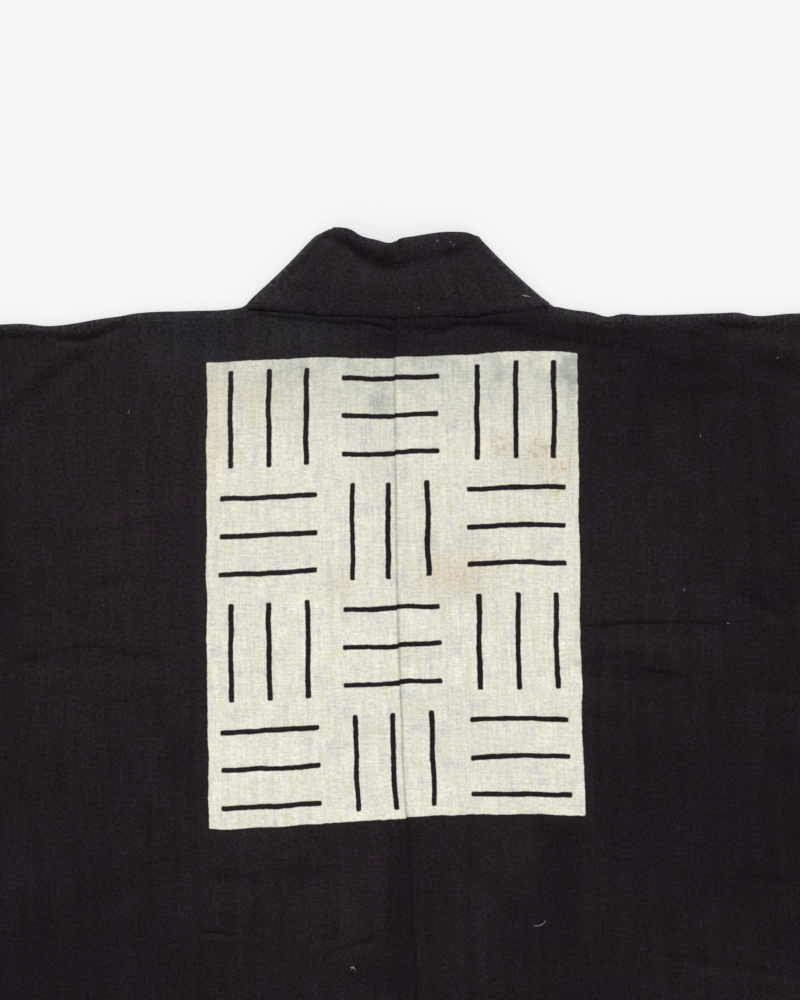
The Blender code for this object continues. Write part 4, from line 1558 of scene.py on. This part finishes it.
class NodeGraph:
    """Adds nodes to a material and joins them, so that a finish reads as a formula."""

    def __init__(self, name: str) -> None:
        """Starts a new material with a Principled shader."""
        self.material = bpy.data.materials.new(name)
        self.material.use_nodes = True
        self.tree = self.material.node_tree
        self.shader = self.tree.nodes["Principled BSDF"]

    def add(self, kind: str, inputs: dict[str | int, object], **settings: object) -> bpy.types.Node:
        """Adds a node.

        Args:
            kind: Blender's name for the node's type.
            inputs: A socket or a constant for each named or numbered input.
            settings: The node's own properties.

        Returns:
            The new node.
        """
        node = self.tree.nodes.new(kind)
        for name, value in settings.items():
            setattr(node, name, value)
        for key, value in inputs.items():
            if isinstance(value, Socket):
                self.tree.links.new(value, node.inputs[key])
            else:
                node.inputs[key].default_value = value
        return node

    def uv(self, layer: str) -> Socket:
        """The piece's own UV map of that name."""
        return self.add("ShaderNodeUVMap", {}, uv_map=layer).outputs["UV"]

    def mark(self, mark: Mark) -> Socket:
        """The piece's own values of a mark."""
        return self.add("ShaderNodeAttribute", {}, attribute_name=mark.value).outputs["Fac"]

    def math(self, operation: str, *values: Socket | float, clamp: bool = False) -> Socket:
        """The result of a Math node on those values."""
        inputs = dict(enumerate(values))
        return self.add("ShaderNodeMath", inputs, operation=operation, use_clamp=clamp).outputs[0]

    def split(self, vector: Socket) -> tuple[Socket, Socket]:
        """The first two parts of a vector."""
        node = self.add("ShaderNodeSeparateXYZ", {0: vector})
        return node.outputs["X"], node.outputs["Y"]

    def scaled(self, vector: Socket, scale: tuple[float, float], shift: float = 0.0) -> Socket:
        """A vector with its parts multiplied and moved."""
        inputs = {"Vector": vector, "Scale": (*scale, 1.0), "Location": (shift, shift, shift)}
        return self.add("ShaderNodeMapping", inputs).outputs["Vector"]

    def noise(
        self, vector: Socket, scale: float, detail: float = 2.0, rough: float = 0.5
    ) -> Socket:
        """Noise of about 0 to 1 at a vector."""
        inputs = {"Vector": vector, "Scale": scale, "Detail": detail, "Roughness": rough}
        return self.add("ShaderNodeTexNoise", inputs).outputs["Fac"]

    def step(self, value: Socket, low: float, high: float) -> Socket:
        """0 at low to 1 at high and past them, with smooth ends; low may be the greater."""
        inputs = {"Value": value, "From Min": low, "From Max": high}
        node = self.add("ShaderNodeMapRange", inputs, interpolation_type="SMOOTHSTEP")
        return node.outputs["Result"]

    def mix(
        self, share: Socket | float, first: Socket | Colour, second: Socket | Colour,
        blend: str = "MIX",
    ) -> Socket:
        """A colour between two, or their blend.

        Args:
            share: How much of the second, or of the blend.
            first: The first colour.
            second: The second colour.
            blend: Blender's name for the blend.

        Returns:
            The colour.
        """
        node = self.add("ShaderNodeMix", {}, data_type="RGBA", blend_type=blend)
        for key, value in (("Factor_Float", share), ("A_Color", first), ("B_Color", second)):
            socket = next(s for s in node.inputs if s.identifier == key)
            if isinstance(value, Socket):
                self.tree.links.new(value, socket)
            else:
                socket.default_value = value
        return next(s for s in node.outputs if s.identifier == "Result_Color")

    def lift(self, colour: Socket | Colour, brightness: Socket) -> Socket:
        """A colour times a brightness."""
        grey = self.add("ShaderNodeCombineColor", {0: brightness, 1: brightness, 2: brightness})
        return self.mix(1.0, colour, grey.outputs[0], "MULTIPLY")

    def around(self, value: Socket, depth: float) -> Socket:
        """1 plus the depth times how far a noise is from its middle."""
        return self.math("MULTIPLY_ADD", value, depth, 1.0 - depth / 2)


@dataclass(frozen=True)
class Threads:
    """Unevenness of hand-spun cotton, as noises on the flat cloth."""

    slub: Socket  # blotches of a few threads
    warp: Socket  # streaks along the cloth
    weft: Socket  # streaks across the cloth

    @classmethod
    def spun(cls, graph: NodeGraph, weave: Socket) -> "Threads":
        """Makes the noises: one even, two stretched along each way of the weave."""
        return cls(
            graph.noise(weave, 420.0, 1.0, 0.6),
            graph.noise(graph.scaled(weave, (540.0, 38.0)), 1.0, 1.0),
            graph.noise(graph.scaled(weave, (60.0, 560.0), 5.0), 1.0, 1.0),
        )

    def shade(self, graph: NodeGraph, slub: float, warp: float, weft: float) -> Socket:
        """Brightness of the cloth: the noises round 1, each with its own depth, multiplied."""
        shade = graph.math("MULTIPLY", graph.around(self.warp, warp), graph.around(self.weft, weft))
        return graph.math("MULTIPLY", shade, graph.around(self.slub, slub))


@dataclass(frozen=True)
class DyedCotton:
    """Hand-woven cotton, dyed near black and a little faded."""

    name: str
    deep: Colour = (0.0074, 0.0041, 0.0072, 1.0)  # the dyed colour where it has kept, and where shade is painted in the seams
    faded: Colour = (0.0182, 0.0128, 0.0142, 1.0)  # the brownish colour where it has faded
    # The bluish colour where light has faded it most.
    sunned: Colour = (0.0172, 0.0158, 0.0206, 1.0)
    rubbed: Colour = (0.0420, 0.0420, 0.0480, 1.0)  # the colour of rubbed edges
    brown: Colour = (1.10, 1.16, 0.90, 1.0)  # tint of the lengthwise bands where the dye has turned
    plum: Colour = (0.97, 0.86, 1.10, 1.0)  # tint of the bands between them
    pitch: float = 0.00062  # distance between threads
    crumple: float = 3.0  # how high the finest crumples of the cloth stand, for its threads
    roughness: float = 0.92
    block: BackBlock | None = None  # the undyed block, if the piece has one

    def relief(self, graph: NodeGraph, weave: Socket, threads: Threads) -> Socket:
        """Relief of the plain weave, two sine waves multiplied, with uneven threads and crumple.

        Args:
            graph: The material's nodes.
            weave: Place on the flat cloth.
            threads: Unevenness of the threads.

        Returns:
            The height.
        """
        across, along = graph.split(graph.scaled(weave, (math.pi / self.pitch,) * 2))
        over = graph.math("MULTIPLY", graph.math("SINE", across), graph.math("SINE", along))
        uneven = graph.math("ADD", threads.warp, threads.weft)
        uneven = graph.math("MULTIPLY_ADD", threads.slub, 1.6, uneven)
        crumple = graph.noise(graph.scaled(weave, (26.0, 58.0), 9.0), 1.0, 3.0, 0.55)
        uneven = graph.math("MULTIPLY_ADD", crumple, self.crumple, uneven)
        return graph.math("MULTIPLY_ADD", over, 0.16, uneven)

    def colour(self, graph: NodeGraph, weave: Socket, threads: Threads) -> Socket:
        """The dyed cloth: fading, with shade painted in the seams, lengthwise bands of brown and
        plum, blotches and rubbed edges.

        Args:
            graph: The material's nodes.
            weave: Place on the flat cloth.
            threads: Unevenness of the threads.

        Returns:
            The colour.
        """
        band = graph.noise(graph.scaled(weave, (105.0, 8.0)), 1.0, 3.0, 0.6)
        drift = graph.noise(weave, 16.0, 3.0, 0.6)
        blotch = graph.noise(graph.scaled(weave, (1.0, 1.0), 7.0), 95.0, 2.0, 0.6)
        uneven = graph.math("SUBTRACT", drift, 0.5)
        # The fading mark, taken down where shade is painted in the seams, mixes the deep colour into
        # the faded one.
        share = graph.math("MULTIPLY_ADD", uneven, 0.9, graph.mark(Mark.FADED))
        colour = graph.mix(graph.math("MAXIMUM", share, 0.0), self.deep, self.faded)
        sunned = graph.math("MULTIPLY", graph.mark(Mark.SUNNED), graph.around(drift, 1.2))
        colour = graph.mix(sunned, colour, self.sunned)
        worn = graph.math("MULTIPLY", graph.mark(Mark.WORN), graph.around(threads.slub, 1.6))
        colour = graph.mix(graph.math("MULTIPLY", worn, 0.75), colour, self.rubbed)
        hue = graph.math("MULTIPLY_ADD", threads.weft, 0.35, graph.math("MULTIPLY", blotch, 0.75))
        hue = graph.math("MULTIPLY_ADD", drift, 0.7, hue)
        tint = graph.mix(graph.step(hue, 0.74, 1.06), self.brown, self.plum)
        colour = graph.mix(1.0, colour, tint, "MULTIPLY")
        shade = threads.shade(graph, 2.1, 0.45, 0.42)
        shade = graph.math("MULTIPLY", shade, graph.around(band, 0.85))
        return graph.lift(colour, graph.math("MULTIPLY", shade, graph.around(blotch, 0.8)))

    def material(self) -> bpy.types.Material:
        """Makes the material."""
        graph = NodeGraph(self.name)
        weave = graph.uv(WEAVE_UV)
        threads = Threads.spun(graph, weave)
        colour = self.colour(graph, weave, threads)
        if self.block is not None:
            colour = UndyedCotton(self.block).over(graph, weave, threads, colour)
        graph.tree.links.new(colour, graph.shader.inputs["Base Color"])
        relief = self.relief(graph, weave, threads)
        bump = graph.add("ShaderNodeBump", {"Height": relief, "Strength": 0.5, "Distance": 0.00030})
        graph.tree.links.new(bump.outputs["Normal"], graph.shader.inputs["Normal"])
        graph.shader.inputs["Roughness"].default_value = self.roughness
        graph.shader.inputs["Specular IOR Level"].default_value = 0.12
        graph.shader.inputs["Sheen Weight"].default_value = 0.06
        graph.shader.inputs["Sheen Roughness"].default_value = 0.45
        graph.shader.inputs["Sheen Tint"].default_value = (0.85, 0.80, 0.84, 1.0)
        return graph.material


@dataclass(frozen=True)
class UndyedCotton:
    """The cream of the block, where paste kept the dye off, and the dark bars left in it."""

    block: BackBlock
    cream: Colour = (0.756, 0.742, 0.652, 1.0)
    cool: Colour = (0.668, 0.662, 0.622, 1.0)  # of the greyer threads
    warm: Colour = (0.744, 0.706, 0.556, 1.0)  # of the yellower threads
    grey: Colour = (0.360, 0.382, 0.335, 1.0)  # of dirt, and of the shade painted in the centre seam and beside it
    tea: Colour = (0.660, 0.560, 0.400, 1.0)  # of stains
    rust: Colour = (0.520, 0.320, 0.130, 1.0)  # of specks
    thinned: float = 0.010  # share of grey in the dye next to the cream
    thin_run: float = 0.0120  # how far that reaches
    sway: float = 0.0030  # slow wavering of the paste's edges
    shake: float = 0.0013  # quick wavering of the paste's edges
    bar_corner: float = 0.0022  # rounding at the ends of the bars
    block_corner: float = 0.0015  # rounding at the corners of the block
    soft_edge: float = 0.00045  # half the width in which cream turns to dye

    def wobbled(self, graph: NodeGraph) -> tuple[Socket, Socket]:
        """Metres across and down the block, with the unsteady hand of the paste.

        Args:
            graph: The material's nodes.

        Returns:
            Both distances.
        """
        middle = (self.sway + self.shake) / 2
        across, down = graph.split(graph.uv(BLOCK_UV))
        weave = graph.uv(WEAVE_UV)
        drawn = []
        for share, size, shift in ((across, self.block.width, 0.0), (down, self.block.height, 2.0)):
            place = graph.scaled(weave, (1.0, 1.0), shift)
            wide, tight = graph.noise(place, 34.0, 1.0), graph.noise(place, 190.0, 2.0, 0.6)
            waver = graph.math("MULTIPLY", tight, self.shake)
            waver = graph.math("MULTIPLY_ADD", wide, self.sway, waver)
            waver = graph.math("SUBTRACT", waver, middle)
            drawn.append(graph.math("MULTIPLY_ADD", share, size, waver))
        return drawn[0], drawn[1]

    def inside(self, graph: NodeGraph, value: Socket, size: float) -> Socket:
        """How far a value is inside 0 to size, below zero outside."""
        return graph.math("MINIMUM", value, graph.math("SUBTRACT", size, value))

    def bars(self, graph: NodeGraph, across: Socket, down: Socket) -> Socket:
        """Distance out of the nearest bar: three bars a cell, upright and level by turns.

        Args:
            graph: The material's nodes.
            across: Metres across the block.
            down: Metres down the block.

        Returns:
            The distance, below zero inside a bar.
        """
        block = self.block
        wide, high = block.width / block.cells_across, block.height / block.cells_down
        cell_x, cell_y = graph.math("DIVIDE", across, wide), graph.math("DIVIDE", down, high)
        count = graph.math("ADD", graph.math("FLOOR", cell_x), graph.math("FLOOR", cell_y))
        level = graph.math("FLOORED_MODULO", count, 2.0)
        from_x, from_y = (
            graph.math("MULTIPLY", graph.math("SUBTRACT", graph.math("FRACT", cell), 0.5), size)
            for cell, size in ((cell_x, wide), (cell_y, high))
        )
        swap = graph.math("MULTIPLY", graph.math("SUBTRACT", from_y, from_x), level)
        along = graph.math("SUBTRACT", from_y, swap)
        beside = graph.math("ADD", from_x, swap)
        moved = graph.math("ADD", beside, block.bar_spacing / 2)
        nearest = graph.math("SNAP", moved, block.bar_spacing)
        off = graph.math("ABSOLUTE", graph.math("SUBTRACT", beside, nearest))
        past_side = graph.math("SUBTRACT", off, block.bar_width / 2)
        past_end = graph.math("SUBTRACT", graph.math("ABSOLUTE", along), block.bar_length / 2)
        return graph.math("SMOOTH_MAX", past_side, past_end, self.bar_corner)

    def clearance(self, graph: NodeGraph) -> Socket:
        """How far a point is inside the block and outside its bars, below zero elsewhere.

        Args:
            graph: The material's nodes.

        Returns:
            The distance.
        """
        across, down = self.wobbled(graph)
        inside_x = self.inside(graph, across, self.block.width)
        inside_y = self.inside(graph, down, self.block.height)
        within = graph.math("SMOOTH_MIN", inside_x, inside_y, self.block_corner)
        return graph.math("MINIMUM", within, self.bars(graph, across, down))

    def colour(self, graph: NodeGraph, weave: Socket, threads: Threads) -> Socket:
        """Cream with cool and warm threads, grey smudges, grey painted shade in the centre seam and
        beside it, tea stains and rust specks.

        Args:
            graph: The material's nodes.
            weave: Place on the flat cloth.
            threads: Unevenness of the threads.

        Returns:
            The colour.
        """
        mottle = graph.noise(weave, 75.0, 4.0, 0.65)
        ragged = graph.around(mottle, 2.4)
        cloud = graph.noise(graph.scaled(weave, (105.0, 72.0), 11.0), 1.0, 4.0, 0.65)
        cool, cool_cloud = graph.step(threads.warp, 0.56, 0.90), graph.step(cloud, 0.52, 0.66)
        colour = graph.mix(graph.math("MAXIMUM", cool, cool_cloud), self.cream, self.cool)
        warm, warm_cloud = graph.step(threads.weft, 0.54, 0.90), graph.step(cloud, 0.48, 0.34)
        colour = graph.mix(graph.math("MAXIMUM", warm, warm_cloud), colour, self.warm)
        # The smudge mark holds dirt and the shade painted in the centre seam and beside it; both turn
        # the cream grey, broken up by the mottle.
        grime = graph.math("MAXIMUM", graph.around(mottle, 3.6), 0.0)
        smudged = graph.math("MULTIPLY", graph.mark(Mark.SMUDGED), grime, clamp=True)
        colour = graph.mix(smudged, colour, self.grey)
        stained = graph.math("MULTIPLY", graph.mark(Mark.STAINED), ragged, clamp=True)
        colour = graph.mix(stained, colour, self.tea)
        speck = graph.step(graph.noise(weave, 250.0, 2.0, 0.6), 0.50, 0.64)
        rusty = graph.math("MULTIPLY", graph.mark(Mark.RUSTY), speck)
        colour = graph.mix(rusty, colour, self.rust)
        streak = graph.noise(graph.scaled(weave, (190.0, 7.0), 3.0), 1.0, 2.0)
        shade = threads.shade(graph, 0.42, 0.34, 0.18)
        shade = graph.math("MULTIPLY", shade, graph.around(streak, 0.20))
        return graph.lift(colour, graph.math("MULTIPLY", shade, graph.around(mottle, 0.26)))

    def over(self, graph: NodeGraph, weave: Socket, threads: Threads, dyed: Socket) -> Socket:
        """The cream inside the block, the dyed colour outside, thinned next to the cream.

        Args:
            graph: The material's nodes.
            weave: Place on the flat cloth.
            threads: Unevenness of the threads.
            dyed: The dyed colour.

        Returns:
            The colour.
        """
        clear = self.clearance(graph)
        thin = graph.math("MULTIPLY", graph.step(clear, -self.thin_run, 0.0), self.thinned)
        dyed = graph.mix(thin, dyed, self.grey)
        cream = self.colour(graph, weave, threads)
        return graph.mix(graph.step(clear, -self.soft_edge, self.soft_edge), dyed, cream)


@dataclass(frozen=True)
class Thread:
    """Loose cotton thread, matt, with a twist."""

    name: str
    colour: Colour

    def material(self) -> bpy.types.Material:
        """Makes the material, lighter and darker along each thread."""
        graph = NodeGraph(self.name)
        place = graph.add("ShaderNodeTexCoord", {}).outputs["Object"]
        twist = graph.noise(place, 900.0, 2.0)
        colour = graph.lift(self.colour, graph.around(twist, 0.9))
        graph.tree.links.new(colour, graph.shader.inputs["Base Color"])
        graph.shader.inputs["Roughness"].default_value = 0.9
        graph.shader.inputs["Specular IOR Level"].default_value = 0.2
        return graph.material


# --- The room ---


@dataclass(frozen=True)
class Studio:
    """Plain pale table, soft light from the collar's side, and a camera straight above."""

    lay: TableLay
    framed_height: float = 0.750  # height of the picture, on the coat
    below_shoulder: float = 0.141  # from the shoulder line down to the picture's middle
    aside: float = 0.0011  # from the neck's middle across to the picture's middle
    lens: float = 85.0  # focal length in millimetres
    sensor: float = 36.0  # in millimetres
    table_size: float = 12.0
    table_colour: Colour = (0.90, 0.90, 0.90, 1.0)
    ambient: float = 0.36
    key_strength: float = 3.31
    key_elevation: float = 40.0  # degrees above the table
    key_turn: float = -6.0  # degrees round from the collar's side
    key_softness: float = 26.0  # width of the light in degrees

    def camera(self) -> None:
        """Hangs the camera so that the framed height just fills the picture."""
        distance = self.framed_height * self.lens / self.sensor
        x, y, _ = (float(value) for value in self.lay.place(0.0, 0.0, 0.0))
        lens = bpy.data.cameras.new("camera")
        lens.lens, lens.sensor_width = self.lens, self.sensor
        camera = linked("camera", lens)
        camera.location = (x + self.aside, y - self.below_shoulder, distance + self.lay.back_z)
        bpy.context.scene.camera = camera

    def table(self) -> None:
        """A wide flat sheet in four quads, matt and faintly uneven."""
        half = self.table_size / 2
        line = np.linspace(-half, half, 3)
        x, y = np.meshgrid(line, line)
        points = np.stack([x, y, np.zeros_like(x)], axis=-1).reshape(-1, 3)
        faces = [(corner, corner + 1, corner + 4, corner + 3) for corner in (0, 1, 3, 4)]
        mesh = bpy.data.meshes.new(TABLE_TOP)
        mesh.from_pydata(points, [], faces)
        graph = NodeGraph("matt_white_board")
        place = graph.add("ShaderNodeTexCoord", {}).outputs["Object"]
        grain = graph.noise(place, 3.0, 2.0)
        colour = graph.lift(self.table_colour, graph.around(grain, 0.008))
        graph.tree.links.new(colour, graph.shader.inputs["Base Color"])
        graph.shader.inputs["Roughness"].default_value = 1.0
        graph.shader.inputs["Specular IOR Level"].default_value = 0.0
        mesh.materials.append(graph.material)
        linked(TABLE_TOP, mesh)

    def lights(self) -> None:
        """An even white surround and one wide soft key light from beyond the collar."""
        world = bpy.data.worlds.new("white_surround")
        world.use_nodes = True
        sky = world.node_tree.nodes["Background"]
        sky.inputs["Color"].default_value = (1.0, 1.0, 1.0, 1.0)
        sky.inputs["Strength"].default_value = self.ambient
        bpy.context.scene.world = world
        key = bpy.data.lights.new("soft_key", "SUN")
        key.energy = self.key_strength
        key.angle = math.radians(self.key_softness)
        tilt, turn = math.radians(self.key_elevation - 90.0), math.radians(self.key_turn)
        linked("soft_key", key).rotation_euler = (tilt, 0.0, turn)

    def build(self) -> None:
        """Builds the room."""
        self.camera()
        self.table()
        self.lights()
        bpy.context.scene.view_settings.view_transform = "Standard"


def main() -> None:
    """Builds the room and the coat, piece by piece."""
    logging.basicConfig(level=logging.INFO, format="%(name)s: %(message)s")
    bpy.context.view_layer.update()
    lay = TableLay(CoatDraft(), creases=CREASES, ripples=RIPPLES)
    Studio(lay).build()
    log.info("room built")
    back_finish = DyedCotton("dyed_cotton").material()
    block_finish = DyedCotton("block_cotton", block=BackBlock()).material()
    collar_finish = DyedCotton(
        "collar_cotton", deep=(0.0122, 0.0092, 0.0128, 1.0), faded=(0.0184, 0.0138, 0.0182, 1.0)
    ).material()
    for side in Side:
        body = BodyPanel(lay, side=side).build()
        body.data.materials.append(back_finish)
        body.data.materials.append(block_finish)
        log.info("%s built", body.name)
        sleeve = Sleeve(lay, side=side).build()
        sleeve.data.materials.append(back_finish)
        log.info("%s built", sleeve.name)
    band = CollarBand(lay, wrinkles=COLLAR_WRINKLES)
    collar = band.build()
    collar.data.materials.append(collar_finish)
    log.info("%s built", collar.name)
    trimmings = Trimmings(lay, band)
    trimmings.lint().data.materials.append(Thread("pale_lint", (0.42, 0.41, 0.37, 1.0)).material())
    dark_thread = Thread("dyed_thread", (0.022, 0.017, 0.021, 1.0)).material()
    trimmings.stitches().data.materials.append(dark_thread)
    log.info("lint and stitches laid")


if __name__ == "__main__":
    main()
